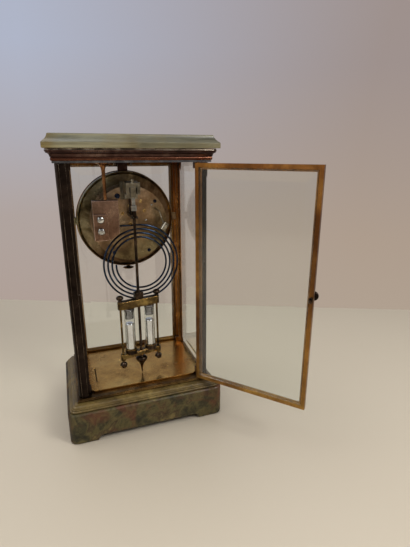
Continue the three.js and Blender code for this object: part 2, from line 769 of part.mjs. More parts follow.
// Top slab: an upright edge under a hollow cove
function topSlab() {
  const profile = [[0, slabBase], [0, slabBase + SLAB_EDGE], [-0.5, slabBase + SLAB_EDGE + 0.5]];
  const rise = SLAB_HEIGHT - SLAB_EDGE - 1.3;
  const start = slabBase + SLAB_EDGE + 0.5;
  for (let k = 1; k <= 5; k += 1) {
    const turn = radians(k * 18);
    profile.push([-0.5 - (SLAB_COVE - 1.2) * Math.sin(turn), start + rise * (1 - Math.cos(turn))]);
  }
  profile.push([-SLAB_COVE, slabBase + SLAB_HEIGHT - 0.5]);
  profile.push([-SLAB_COVE - 0.5, slabBase + SLAB_HEIGHT]);
  return moulded(caseX + SLAB_OVERHANG, caseY + SLAB_OVERHANG, 0, 0, profile);
}

// Door frame in its own place: the hinge axis is x = 0, y = 0, and the outer face is y = 0
function doorFrame() {
  const x0 = -HINGE_INSET;
  const outline = (bar) => {
    const shape = rectangle(x0, doorFree, doorBottom, doorTop);
    const sight = rectangle(x0 + bar, doorFree - bar, doorBottom + bar, doorTop - bar, new THREE.Path());
    shape.holes.push(sight);
    return shape;
  };
  const flange = slabY(outline(DOOR_BAR), -DOOR_FLANGE, 0);
  const web = slabY(outline(DOOR_BAR - DOOR_REBATE), -DOOR_THICKNESS, -DOOR_FLANGE / 2);
  const pinTop = doorTop + DOOR_END_GAP + HINGE_PIN_LENGTH;
  const pinBottom = doorBottom - DOOR_END_GAP - HINGE_PIN_LENGTH;
  const frame = fuse(
    flange,
    web,
    rodZ(KNUCKLE_RADIUS, doorBottom, doorBottom + KNUCKLE_LENGTH, 12),
    rodZ(KNUCKLE_RADIUS, doorTop - KNUCKLE_LENGTH, doorTop, 12),
    rodZ(HINGE_PIN_RADIUS, pinBottom, doorBottom + 1, 12),
    rodZ(HINGE_PIN_RADIUS, doorTop - 1, pinTop, 12),
  );
  const spindleHole = rodY(SPINDLE_RADIUS + RUNNING, -DOOR_THICKNESS - 1, 1, 12);
  return carve(frame, moved(spindleHole, latchX, 0, latchHeight));
}

function doorPane() {
  const inset = DOOR_BAR - DOOR_REBATE + SEAT;
  const flat = pane(
    -HINGE_INSET + inset,
    doorFree - inset,
    doorBottom + inset,
    doorTop - inset,
    DOOR_PANE_THICKNESS,
  );
  flat.applyMatrix4(new THREE.Matrix4().makeBasis(
    new THREE.Vector3(1, 0, 0),
    new THREE.Vector3(0, 0, 1),
    new THREE.Vector3(0, 1, 0),
  ));
  return moved(flat, 0, -DOOR_FLANGE - SEAT - DOOR_PANE_THICKNESS, 0);
}

// Latch: a turned knob, its spindle through the stile, and the tongue behind it, hanging down
function doorLatch() {
  const face = SEAT;
  const knob = turnedY([
    [0, tongueFace - TONGUE_THICKNESS],
    [SPINDLE_RADIUS, tongueFace - TONGUE_THICKNESS],
    [SPINDLE_RADIUS, face],
    [2.6, face],
    [1.6, face + 1.6],
    [KNOB_RADIUS * 0.85, face + KNOB_LENGTH * 0.4],
    [KNOB_RADIUS, face + KNOB_LENGTH * 0.66],
    [KNOB_RADIUS * 0.6, face + KNOB_LENGTH],
    [0, face + KNOB_LENGTH],
  ], 14);
  const tongue = new THREE.Shape();
  tongue.absarc(0, 0, TONGUE_WIDTH / 2, 0, Math.PI, false);
  tongue.lineTo(-TONGUE_WIDTH / 2, -TONGUE_LENGTH + 0.8);
  tongue.lineTo(-TONGUE_WIDTH / 2 + 0.8, -TONGUE_LENGTH);
  tongue.lineTo(TONGUE_WIDTH / 2 - 0.8, -TONGUE_LENGTH);
  tongue.lineTo(TONGUE_WIDTH / 2, -TONGUE_LENGTH + 0.8);
  tongue.closePath();
  return fuse(knob, slabY(tongue, tongueFace - TONGUE_THICKNESS, tongueFace, 4));
}

function door(name, side, opened) {
  const group = new THREE.Group();
  group.position.set(-side * hingeX, side * caseY, 0);
  group.rotation.z = (side > 0 ? 0 : Math.PI) + radians(opened);
  piece(`${name}_door_frame`, doorFrame(), doorBrass, group);
  piece(`${name}_door_glass`, doorPane(), glass, group);
  const latch = piece(`${name}_door_latch`, doorLatch(), knobBlack, group);
  latch.position.set(latchX, 0, latchHeight);
  clock.add(group);
}

// Drum: a dish with a rolled rim, two side lugs, and a stud with its round nut underneath
function drum() {
  const inner = DRUM_RADIUS - DRUM_WALL;
  const dish = turnedY([
    [DRUM_OPENING_RADIUS, drumFloorFront],
    [inner, drumFloorFront],
    [inner, drumFront],
    [DRUM_RADIUS, drumFront],
    [DRUM_RADIUS, drumBack],
    [inner + 0.2, drumBack],
    [inner - 0.4, drumFloorBack + 1],
    [inner - 1.6, drumFloorBack],
    [DRUM_OPENING_RADIUS, drumFloorBack],
    [DRUM_OPENING_RADIUS, drumFloorFront],
  ], 36);
  const lug = (side) => box(
    side > 0 ? DRUM_RADIUS - 1 : -(innerX - SEAT),
    side > 0 ? innerX - SEAT : -(DRUM_RADIUS - 1),
    drumFront + 0.2,
    drumFront + 0.2 + LUG_DEPTH,
    -LUG_HEIGHT / 2,
    LUG_HEIGHT / 2,
  );
  const studFoot = -DRUM_RADIUS - DRUM_STUD_LENGTH;
  const studded = turnedZ([
    [0, studFoot],
    [DRUM_STUD_RADIUS * 0.6, studFoot],
    [DRUM_STUD_RADIUS, studFoot + DRUM_STUD_LENGTH * 0.16],
    [DRUM_STUD_RADIUS, studFoot + DRUM_STUD_LENGTH * 0.4],
    [DRUM_STUD_RADIUS * 0.4, studFoot + DRUM_STUD_LENGTH * 0.52],
    [DRUM_STUD_RADIUS * 0.22, -DRUM_RADIUS + 0.8],
    [0, -DRUM_RADIUS + 0.8],
  ], 16);
  return fuse(dish, lug(1), lug(-1), moved(studded, 0, (drumFront + drumBack) / 2, 0));
}

// Top strap: a flange under the ceiling and a web cut to the drum's curve
function topStrap() {
  const top = ceiling - SEAT - movementZ;
  const y0 = drumFront + 1;
  const y1 = y0 + STRAP_THICKNESS;
  const web = box(-STRAP_WIDTH / 2, STRAP_WIDTH / 2, y0, y1, DRUM_RADIUS - 3, top);
  const flangeX = STRAP_FLANGE_WIDTH / 2;
  const flangeBack = y0 + STRAP_FLANGE_DEPTH;
  const flange = box(-flangeX, flangeX, y0, flangeBack, top - STRAP_FLANGE_THICKNESS, top);
  const studX = flangeX - 4;
  const studY = y0 + STRAP_FLANGE_DEPTH * 0.54;
  const stud = (side) => moved(rodZ(STRAP_STUD_RADIUS, top - 4, top - 1, 10), side * studX, studY, 0);
  const body = fuse(web, flange, stud(1), stud(-1));
  return carve(body, rodY(DRUM_RADIUS + SEAT, y0 - 1, flangeBack + 1, 80));
}

function bezel() {
  const outer = DRUM_RADIUS + BEZEL_OVERLAP;
  const sight = DIAL_SIGHT_RADIUS;
  return turnedY([
    [sight, dialFront - SEAT],
    [sight, bezelFront + 0.9],
    [sight + 1.4, bezelFront],
    [outer - 1.6, bezelFront],
    [outer, bezelFront + 0.9],
    [outer, bezelBack],
    [sight + 1.2, bezelBack],
    [sight + 1.2, dialFront - SEAT],
    [sight, dialFront - SEAT],
  ], 36);
}

function dial() {
  const shape = new THREE.Shape(circlePoints(0, 0, DRUM_RADIUS - DRUM_WALL - SEAT, 36));
  shape.holes.push(circlePath(0, 0, HOUR_PIPE_RADIUS + RUNNING));
  [1, -1].forEach((side) => {
    shape.holes.push(circlePath(side * BARREL_OFFSET_X, -BARREL_DROP, WINDING_HOLE_RADIUS));
  });
  return slabY(shape, dialFront, dialBack);
}

// Wheel outline: fine wedge teeth, and crossings between the spokes
function wheelShape(teeth, module, phase, spokes = 0) {
  const pitchRadius = teeth * module / 2;
  const tip = pitchRadius + module * 0.85;
  const root = pitchRadius - module * 1.25;
  const step = 360 / teeth;
  const points = [];
  for (let i = 0; i < teeth; i += 1) {
    const centre = phase + i * step;
    points.push(polar(tip, centre));
    points.push(polar(root, centre + 0.5 * step));
  }
  const shape = new THREE.Shape(points);
  const rim = root - 1.6;
  const hub = 3;
  for (let i = 0; i < spokes; i += 1) {
    const start = radians(i * 360 / spokes);
    const end = radians((i + 1) * 360 / spokes);
    const spare = 0.75;
    const hole = new THREE.Path();
    hole.absarc(0, 0, rim, start + spare / rim, end - spare / rim, false);
    hole.absarc(0, 0, hub, end - spare / hub, start + spare / hub, true);
    hole.closePath();
    shape.holes.push(hole);
  }
  return shape;
}

// Pinion outline: slim leaves that run in the pointed gaps
function pinionShape(leaves, module, phase) {
  const pitchRadius = leaves * module / 2;
  const step = 360 / leaves;
  const points = [];
  for (let i = 0; i < leaves; i += 1) {
    const centre = phase + i * step;
    const tip = pitchRadius + module * 0.55;
    const root = pitchRadius - module * 1.15;
    points.push(polar(root, centre - 0.17 * step));
    points.push(polar(tip, centre));
    points.push(polar(root, centre + 0.17 * step));
  }
  return new THREE.Shape(points);
}

function wheelDisc(teeth, module, phase, y, spokes = 0) {
  return slabY(wheelShape(teeth, module, phase, spokes), y, y + WHEEL_THICKNESS, 2);
}

function pinionAt(leaves, module, phase, y0, y1) {
  return slabY(pinionShape(leaves, module, phase), y0, y1);
}

// Arbor between the plates, with a pivot at each end in its plate hole
function arbor(y0 = SEAT, y1 = PLATE_SPACING - SEAT) {
  const pivot = 1.2;
  return turnedY([
    [0, y0 - pivot],
    [PIVOT_RADIUS, y0 - pivot],
    [PIVOT_RADIUS, y0],
    [ARBOR_RADIUS, y0],
    [ARBOR_RADIUS, y1],
    [PIVOT_RADIUS, y1],
    [PIVOT_RADIUS, y1 + pivot],
    [0, y1 + pivot],
  ], 6);
}

// Point at given distances from two centres, on the side given by the sign
function meetingPoint(a, reachA, b, reachB, side) {
  const span = a.distanceTo(b);
  const along = (reachA ** 2 - reachB ** 2 + span ** 2) / (2 * span);
  const across = side * Math.sqrt(reachA ** 2 - along ** 2);
  const dir = b.clone().sub(a).normalize();
  return v2(a.x + along * dir.x - across * dir.y, a.y + along * dir.y + across * dir.x);
}

const meshDistance = (teeth, leaves, module) => (teeth + leaves) * module / 2 + MESH_EASE;
const bearing = (from, to) => THREE.MathUtils.radToDeg(Math.atan2(to.y - from.y, to.x - from.x));
const pinionPhase = (wheelCentre, pinionCentre, leaves) => bearing(pinionCentre, wheelCentre) + 180 / leaves;

// Centres of the arbors, in x and z from the movement's centre
const centreAt = v2(0, 0);
const escapeAt = v2(0, ESCAPE_RISE);
const anchorAt = v2(0, anchorRise);
const goingAt = v2(BARREL_OFFSET_X, -BARREL_DROP);
const strikeAt = v2(-BARREL_OFFSET_X, -BARREL_DROP);
const greatReach = meshDistance(BARREL_TEETH, GREAT_PINION_LEAVES, BARREL_MODULE);
const intermediateAt = meetingPoint(
  centreAt,
  meshDistance(INTERMEDIATE_TEETH, CENTRE_PINION_LEAVES, INTERMEDIATE_MODULE),
  goingAt,
  greatReach,
  -1,
);
const thirdAt = meetingPoint(
  centreAt,
  meshDistance(CENTRE_TEETH, FINE_PINION_LEAVES, CENTRE_MODULE),
  escapeAt,
  meshDistance(THIRD_TEETH, FINE_PINION_LEAVES, THIRD_MODULE),
  -1,
);
const pinWheelAt = strikeAt.clone().add(polar(greatReach, PIN_WHEEL_DIRECTION));
const flyAt = pinWheelAt.clone().add(
  polar(meshDistance(PIN_WHEEL_TEETH, FINE_PINION_LEAVES, PIN_WHEEL_MODULE), FLY_DIRECTION),
);
const hammerAt = v2(HAMMER_OFFSET_X, HAMMER_RISE);
const motionReach = meshDistance(MINUTE_WHEEL_TEETH, CANNON_LEAVES, MOTION_MODULE);
const hourModule = 2 * (motionReach - MESH_EASE) / (HOUR_WHEEL_TEETH + MINUTE_PINION_LEAVES);
const minuteWheelAt = polar(motionReach, MOTION_DIRECTION);

function moveToArbor(mesh, at) {
  mesh.position.set(at.x, trainFront, movementZ + at.y);
  return mesh;
}

// Squared arbor end that the key turns, reaching into its hole in the dial
function windingSquare() {
  const half = WINDING_SQUARE / 2;
  return box(-half, half, dialBack - trainFront - 0.4, goingGearLayer + 1, -half, half);
}

// Going train, from the barrel to the escape wheel
function goingTrain() {
  moveToArbor(piece('going_barrel', fuse(
    arbor(),
    wheelDisc(BARREL_TEETH, BARREL_MODULE, bearing(goingAt, intermediateAt), goingGearLayer),
    rodY(BARREL_RADIUS, goingGearLayer + 0.4, goingGearLayer + BARREL_LENGTH, 28),
    windingSquare(),
  ), wheelBrass), goingAt);
  moveToArbor(piece('intermediate_wheel', fuse(
    arbor(),
    wheelDisc(
      INTERMEDIATE_TEETH,
      INTERMEDIATE_MODULE,
      bearing(intermediateAt, centreAt),
      intermediateLayer,
      4,
    ),
    pinionAt(
      GREAT_PINION_LEAVES,
      BARREL_MODULE,
      pinionPhase(goingAt, intermediateAt, GREAT_PINION_LEAVES),
      intermediateLayer + 0.5,
      goingGearLayer + pinionLength - 0.8,
    ),
  ), wheelBrass), intermediateAt);
  moveToArbor(piece('centre_wheel', fuse(
    arbor(trainArborFront, PLATE_SPACING - SEAT),
    wheelDisc(CENTRE_TEETH, CENTRE_MODULE, bearing(centreAt, thirdAt), centreLayer, 4),
    pinionAt(
      CENTRE_PINION_LEAVES,
      INTERMEDIATE_MODULE,
      pinionPhase(intermediateAt, centreAt, CENTRE_PINION_LEAVES),
      centreLayer + 0.5,
      intermediateLayer + pinionLength - 0.6,
    ),
  ), wheelBrass), centreAt);
  moveToArbor(piece('third_wheel', fuse(
    arbor(),
    wheelDisc(THIRD_TEETH, THIRD_MODULE, bearing(thirdAt, escapeAt), intermediateLayer + 0.4, 4),
    pinionAt(
      FINE_PINION_LEAVES,
      CENTRE_MODULE,
      pinionPhase(centreAt, thirdAt, FINE_PINION_LEAVES),
      centreLayer - 0.7,
      intermediateLayer + 0.5,
    ),
  ), wheelBrass), thirdAt);
  const escapeShape = new THREE.Shape();
  for (let i = 0; i < ESCAPE_TEETH; i += 1) {
    const step = 360 / ESCAPE_TEETH;
    const tip = polar(ESCAPE_RADIUS, i * step);
    const root = polar(ESCAPE_RADIUS - ESCAPE_TOOTH, i * step + 0.2 * step);
    if (i === 0) {
      escapeShape.moveTo(tip.x, tip.y);
    } else {
      escapeShape.lineTo(tip.x, tip.y);
    }
    escapeShape.lineTo(root.x, root.y);
  }
  escapeShape.closePath();
  moveToArbor(piece('escape_wheel', fuse(
    arbor(),
    slabY(escapeShape, escapeLayer, escapeLayer + ESCAPE_THICKNESS),
    pinionAt(
      FINE_PINION_LEAVES,
      THIRD_MODULE,
      pinionPhase(thirdAt, escapeAt, FINE_PINION_LEAVES),
      intermediateLayer - 0.3,
      intermediateLayer + pinionLength,
    ),
  ), wheelBrass), escapeAt);
}

// Anchor: its two pallets ride the escape wheel, and the crutch behind the plates takes the pendulum rod
function anchor() {
  const reach = ESCAPE_RADIUS - PALLET_INSET;
  const drop = ANCHOR_DISTANCE - PALLET_HEIGHT;
  const half = [[0.26, -0.28], [0.945, 0.445], [1, 1], [0.835, 0.87], [0.74, 0.61], [0.3, 0.315]];
  const points = [
    v2(0, drop * 0.41),
    ...half.map(([x, z]) => v2(reach * x, -drop * z)),
    v2(0, -drop * 0.28),
    ...half.toReversed().map(([x, z]) => v2(-reach * x, -drop * z)),
  ];
  const crutchY = cockFront + CRUTCH_SETBACK - trainFront;
  const footY = pendulumY + ROD_RADIUS + 2 - trainFront;
  const footTop = -CRUTCH_LENGTH + 1.4;
  const slot = ROD_RADIUS + RUNNING;
  const foot = carve(
    box(-slot - 1.4, slot + 1.4, crutchY, footY, -CRUTCH_LENGTH - 1, footTop),
    box(-slot, slot, pendulumY - slot - trainFront, footY + 1, -CRUTCH_LENGTH - 2, footTop + 1),
  );
  return fuse(
    arbor(SEAT, cockWebFront - trainFront - SEAT),
    slabY(new THREE.Shape(points), escapeLayer - 0.6, escapeLayer + 1.4),
    rodY(CRUTCH_WIDTH * 0.8, crutchY - 0.6, crutchY + CRUTCH_THICKNESS + 0.6, 12),
    box(-CRUTCH_WIDTH / 2, CRUTCH_WIDTH / 2, crutchY, crutchY + CRUTCH_THICKNESS, -CRUTCH_LENGTH, 0),
    foot,
  );
}

// Suspension cock: a foot on the back plate, two cheeks, a pivot web and the chop that holds the spring
function suspensionCock() {
  const half = COCK_WIDTH / 2;
  const top = COCK_HEIGHT - 4;
  const low = -4;
  const rear = pendulumY + 2.6;
  const footBack = cockFront + COCK_FOOT_THICKNESS;
  const chopX = CHOP_WIDTH / 2;
  const body = fuse(
    box(-half - 2, half + 2, cockFront, footBack, low, top),
    box(-half, -half + COCK_CHEEK, footBack - 0.6, rear, 3, top),
    box(half - COCK_CHEEK, half, footBack - 0.6, rear, 3, top),
    box(-half + 1, half - 1, cockWebFront, cockWebFront + COCK_WEB_THICKNESS, -2.4, top),
    box(-half + 1, half - 1, rear - COCK_BAR_DEPTH, rear - COCK_BAR_RECESS, top - COCK_BAR_HEIGHT, top),
    box(-chopX, chopX, pendulumY - 2.2, pendulumY + 2.2, RUNNING, top - COCK_BAR_HEIGHT + 0.5),
    moved(rodZ(1.6, top - 1, top + 3, 12), 0, pendulumY, 0),
  );
  return carve(
    body,
    rodY(2.6, cockFront - 1, footBack + 0.8, 12),
    rodY(PIVOT_RADIUS + RUNNING, cockWebFront - 1, cockWebFront + COCK_WEB_THICKNESS + 1, 8),
  );
}

function plateHoles(points, y0, y1) {
  return points.map((at) => moved(rodY(PIVOT_RADIUS + RUNNING, y0, y1, 8), at.x, 0, at.y));
}

const trainArbors = [goingAt, strikeAt, intermediateAt, thirdAt, escapeAt, pinWheelAt, flyAt];

// Front plate with the four pillars riveted to it
function frontPlate() {
  const t = FRONT_PLATE_THICKNESS;
  const plate = rodY(PLATE_RADIUS, -t, 0, 36);
  const pillars = PILLAR_DIRECTIONS.map((degrees) => {
    const at = polar(PILLAR_CIRCLE_RADIUS, degrees);
    const r = PILLAR_RADIUS;
    const length = PLATE_SPACING - SEAT;
    return moved(turnedY([
      [0, -0.5],
      [r, -0.5],
      [r, 2.5],
      [r * 0.62, 4.5],
      [r * 0.62, length - 4.5],
      [r, length - 2.5],
      [r, length],
      [0, length],
    ], 9), at.x, 0, at.y);
  });
  const squares = [goingAt, strikeAt].map((at) => moved(
    rodY(WINDING_SQUARE * 0.72 + RUNNING, -t - 1, 1, 12),
    at.x,
    0,
    at.y,
  ));
  return carve(
    fuse(plate, ...pillars),
    ...plateHoles([intermediateAt, thirdAt, escapeAt, pinWheelAt, flyAt, anchorAt, hammerAt], -t - 1, 1),
    ...squares,
    rodY(ARBOR_RADIUS + RUNNING, -t - 1, 1, 8),
  );
}

function backPlate() {
  const t = BACK_PLATE_THICKNESS;
  return carve(
    rodY(PLATE_RADIUS, 0, t, 36),
    ...plateHoles([centreAt, ...trainArbors], -1, t + 1),
    moved(rodY(3, -1, t + 1, 16), anchorAt.x, 0, anchorAt.y),
    moved(rodY(HAMMER_ARBOR_RADIUS + RUNNING, -1, t + 1, 10), hammerAt.x, 0, hammerAt.y),
  );
}

// Strike train: barrel, pin wheel and fly
function strikeTrain() {
  moveToArbor(piece('strike_barrel', fuse(
    arbor(),
    wheelDisc(BARREL_TEETH, BARREL_MODULE, bearing(strikeAt, pinWheelAt), strikeGearLayer),
    rodY(BARREL_RADIUS, strikeGearLayer + 0.4 - BARREL_LENGTH, strikeGearLayer + 0.6, 28),
    windingSquare(),
  ), wheelBrass), strikeAt);
  const pins = Array.from({ length: LIFTING_PINS }, (_, i) => {
    const at = polar(pinCircleRadius, i * 360 / LIFTING_PINS);
    return moved(
      rodY(LIFTING_PIN_RADIUS, pinWheelLayer + 0.5, pinWheelLayer + WHEEL_THICKNESS + 2.2, 6),
      at.x,
      0,
      at.y,
    );
  });
  moveToArbor(piece('pin_wheel', fuse(
    arbor(),
    wheelDisc(PIN_WHEEL_TEETH, PIN_WHEEL_MODULE, bearing(pinWheelAt, flyAt), pinWheelLayer),
    pinionAt(
      GREAT_PINION_LEAVES,
      BARREL_MODULE,
      pinionPhase(strikeAt, pinWheelAt, GREAT_PINION_LEAVES),
      strikeGearLayer - 0.6,
      strikeGearLayer + pinionLength - 0.6,
    ),
    ...pins,
  ), wheelBrass), pinWheelAt);
  moveToArbor(piece('fly', fuse(
    arbor(),
    pinionAt(
      FINE_PINION_LEAVES,
      PIN_WHEEL_MODULE,
      pinionPhase(pinWheelAt, flyAt, FINE_PINION_LEAVES),
      pinWheelLayer - 0.5,
      pinWheelLayer + pinionLength,
    ),
    rodY(1.3, goingGearLayer, goingGearLayer + FLY_LENGTH, 10),
    box(-FLY_RADIUS, FLY_RADIUS, goingGearLayer + 0.4, goingGearLayer + FLY_LENGTH - 0.4, -0.3, 0.3),
  ), plateBrass), flyAt);
}

// Motion work between the front plate and the dial
function motionWork() {
  const hourTeethPhase = bearing(centreAt, minuteWheelAt);
  const cannonFront = handsFront + 0.9;
  const cannonPhase = pinionPhase(minuteWheelAt, centreAt, CANNON_LEAVES);
  const minuteTeeth = wheelShape(MINUTE_WHEEL_TEETH, MOTION_MODULE, bearing(minuteWheelAt, centreAt));
  const bore = ARBOR_RADIUS + RUNNING;
  const cannon = piece('cannon_pinion', carve(
    fuse(
      pinionAt(CANNON_LEAVES, MOTION_MODULE, cannonPhase, motionLayer - 1.2, motionLayer),
      rodY(CANNON_PIPE_RADIUS, cannonFront, motionLayer - 0.4, 12),
    ),
    rodY(bore, cannonFront - 1, motionLayer + 1, 8),
  ), polishedSteel);
  cannon.position.set(0, 0, movementZ);
  const wheel = piece('minute_wheel', fuse(
    slabY(minuteTeeth, motionLayer - 1.1, motionLayer - 0.1),
    pinionAt(
      MINUTE_PINION_LEAVES,
      hourModule,
      pinionPhase(centreAt, minuteWheelAt, MINUTE_PINION_LEAVES),
      motionLayer - 2.6,
      motionLayer - 1,
    ),
  ), wheelBrass);
  wheel.position.set(minuteWheelAt.x, 0, movementZ + minuteWheelAt.y);
  const pipeFront = dialFront - 0.9;
  const hourTeeth = wheelShape(HOUR_WHEEL_TEETH, hourModule, hourTeethPhase);
  const hour = piece('hour_wheel', carve(
    fuse(
      slabY(hourTeeth, motionLayer - 2.5, motionLayer - 1.5),
      rodY(HOUR_PIPE_RADIUS, pipeFront, motionLayer - 1.8, 14),
    ),
    rodY(CANNON_PIPE_RADIUS + RUNNING, pipeFront - 1, motionLayer, 12),
  ), wheelBrass);
  hour.position.set(0, 0, movementZ);
}

// Hand: a tapering blade with a ring near its tip and a boss on its pipe
function hand(length, pipeRadius, width) {
  const ringAt = length * 0.72;
  const ring = width * 1.6;
  const blade = new THREE.Shape([
    v2(-width * 0.55, 0),
    v2(width * 0.55, 0),
    v2(width * 0.32, ringAt),
    v2(-width * 0.32, ringAt),
  ]);
  const tip = new THREE.Shape([
    v2(-width * 0.45, ringAt + ring * 0.8),
    v2(width * 0.45, ringAt + ring * 0.8),
    v2(0, length),
  ]);
  const eye = new THREE.Shape(circlePoints(0, ringAt + ring * 0.6, ring, 14));
  const boss = rodY(pipeRadius + 1.4, 0, HAND_THICKNESS, 16);
  const t = HAND_THICKNESS;
  const body = fuse(boss, slabY(blade, 0, t), slabY(tip, 0, t), slabY(eye, 0, t));
  const opened = carve(body, moved(rodY(ring * 0.55, -1, t + 1, 12), 0, 0, ringAt + ring * 0.6));
  return carve(opened, rodY(pipeRadius, -1, t + 1, 12));
}

function hands() {
  const minuteBore = CANNON_PIPE_RADIUS + SEAT;
  const hourBore = HOUR_PIPE_RADIUS + SEAT;
  const minute = piece('minute_hand', hand(MINUTE_HAND_LENGTH, minuteBore, MINUTE_HAND_WIDTH), blueSteel);
  minute.position.set(0, handsFront + 1, movementZ);
  minute.rotation.y = radians(MINUTE_HAND_ANGLE);
  const hour = piece('hour_hand', hand(HOUR_HAND_LENGTH, hourBore, HOUR_HAND_WIDTH), blueSteel);
  hour.position.set(0, dialFront - SEAT - HAND_THICKNESS, movementZ);
  hour.rotation.y = radians(HOUR_HAND_ANGLE);
}

// Gong: one wound wire. It starts in the block, runs level to the coil's top and winds inwards
function gongPath() {
  const points = [];
  const startX = BLOCK_OFFSET_X + BLOCK_WIDTH / 2 - 3;
  const straight = 4;
  for (let i = 0; i < straight; i += 1) {
    const share = i / straight;
    points.push(v2(startX + (GONG_OFFSET_X - startX) * share, gongTopZ));
  }
  const steps = Math.round(GONG_LOOP_STEPS * GONG_TURNS);
  for (let i = 0; i <= steps; i += 1) {
    const turns = i / GONG_LOOP_STEPS;
    const reach = polar(GONG_OUTER_RADIUS - GONG_PITCH * turns, 90 + turns * 360);
    points.push(v2(GONG_OFFSET_X + reach.x, gongZ + reach.y));
  }
  return points;
}

function gong(points) {
  const rings = points.map((point, i) => {
    const before = points[Math.max(i - 1, 0)];
    const after = points[Math.min(i + 1, points.length - 1)];
    const along = after.clone().sub(before).normalize();
    const ring = [];
    for (let k = 0; k < GONG_WIRE_SIDES; k += 1) {
      const reach = polar(GONG_WIRE_RADIUS, (k + 0.5) * 360 / GONG_WIRE_SIDES);
      const out = v2(-along.y, along.x).multiplyScalar(reach.x).add(point);
      ring.push(new THREE.Vector3(out.x, gongY + reach.y, out.y));
    }
    return ring;
  });
  return loft(rings, true);
}

// Least gap between the gong's turns, measured between points over half a loop apart
function leastGongGap(points) {
  let least = Infinity;
  points.forEach((a, i) => {
    points.slice(i + GONG_LOOP_STEPS / 2).forEach((b) => {
      least = Math.min(least, a.distanceTo(b));
    });
  });
  return least - 2 * GONG_WIRE_RADIUS;
}

// Gong block: its lower corner is hollowed to clear the coil, and it has bores for the wire and screws
function gongBlock() {
  const x0 = BLOCK_OFFSET_X - BLOCK_WIDTH / 2;
  const x1 = BLOCK_OFFSET_X + BLOCK_WIDTH / 2;
  const y0 = gongY - BLOCK_DEPTH / 2;
  const y1 = gongY + BLOCK_DEPTH / 2;
  const edge = 0.5;
  const ring = (margin, y) => [
    new THREE.Vector3(x0 + margin, y, blockBottom + margin),
    new THREE.Vector3(x1 - margin, y, blockBottom + margin),
    new THREE.Vector3(x1 - margin, y, blockTop - margin),
    new THREE.Vector3(x0 + margin, y, blockTop - margin),
  ];
  const body = loft([ring(edge, y0), ring(0, y0 + edge), ring(0, y1 - edge), ring(edge, y1)], true);
  const bore = rodY(GONG_WIRE_RADIUS + RUNNING, 0, BLOCK_WIDTH, 10);
  bore.rotateZ(-Math.PI / 2);
  const screws = screwHeights.map((z) => moved(
    rodY(CLAMP_SCREW_RADIUS + RUNNING, gongY + GONG_WIRE_RADIUS + 0.6, y1 + 1, 10),
    clampX,
    0,
    z,
  ));
  const clearTurns = moved(
    rodY(GONG_OUTER_RADIUS - GONG_PITCH * 0.75 + GONG_WIRE_RADIUS + BLOCK_COIL_GAP, y0 - 1, y1 + 1, 72),
    GONG_OFFSET_X,
    0,
    gongZ,
  );
  return carve(body, moved(bore, x0 - 1, gongY, gongTopZ), clearTurns, ...screws);
}

function gongClamp() {
  const z0 = blockBottom;
  const body = box(
    clampX - CLAMP_WIDTH / 2,
    clampX + CLAMP_WIDTH / 2,
    clampFront,
    clampFront + CLAMP_THICKNESS,
    z0,
    z0 + CLAMP_HEIGHT,
  );
  const holes = screwHeights.map((z) => moved(
    rodY(CLAMP_SCREW_RADIUS + RUNNING, clampFront - 1, clampFront + CLAMP_THICKNESS + 1, 10),
    clampX,
    0,
    z,
  ));
  return carve(body, ...holes);
}

function clampScrew() {
  const head = CLAMP_SCREW_HEAD_RADIUS;
  const body = turnedY([
    [0, -CLAMP_THICKNESS - SEAT - 1.8],
    [CLAMP_SCREW_RADIUS, -CLAMP_THICKNESS - SEAT - 1.8],
    [CLAMP_SCREW_RADIUS, SEAT],
    [head, SEAT],
    [head, SEAT + 1.8],
    [head - 0.7, SEAT + 2.6],
    [0, SEAT + 2.8],
  ], 16);
  return carve(body, box(-head - 1, head + 1, SEAT + 1.7, SEAT + 4, -0.4, 0.4));
}

// Post: a rod that flares like a trumpet under the ceiling
function gongPost() {
  const length = POST_LENGTH;
  const flare = [];
  for (let k = 0; k <= 4; k += 1) {
    const turn = radians(k * 22.5);
    const spread = POST_FLARE_RADIUS - POST_RADIUS;
    const rise = (POST_FLARE_LENGTH - 1) * Math.sin(turn);
    flare.push([POST_RADIUS + spread * (1 - Math.cos(turn)), length - POST_FLARE_LENGTH + rise]);
  }
  return turnedZ([
    [0, 0],
    [POST_RADIUS * 0.8, 0],
    [POST_RADIUS * 0.9, length * 0.3],
    ...flare,
    [POST_FLARE_RADIUS, length],
    [0, length],
  ], 14);
}

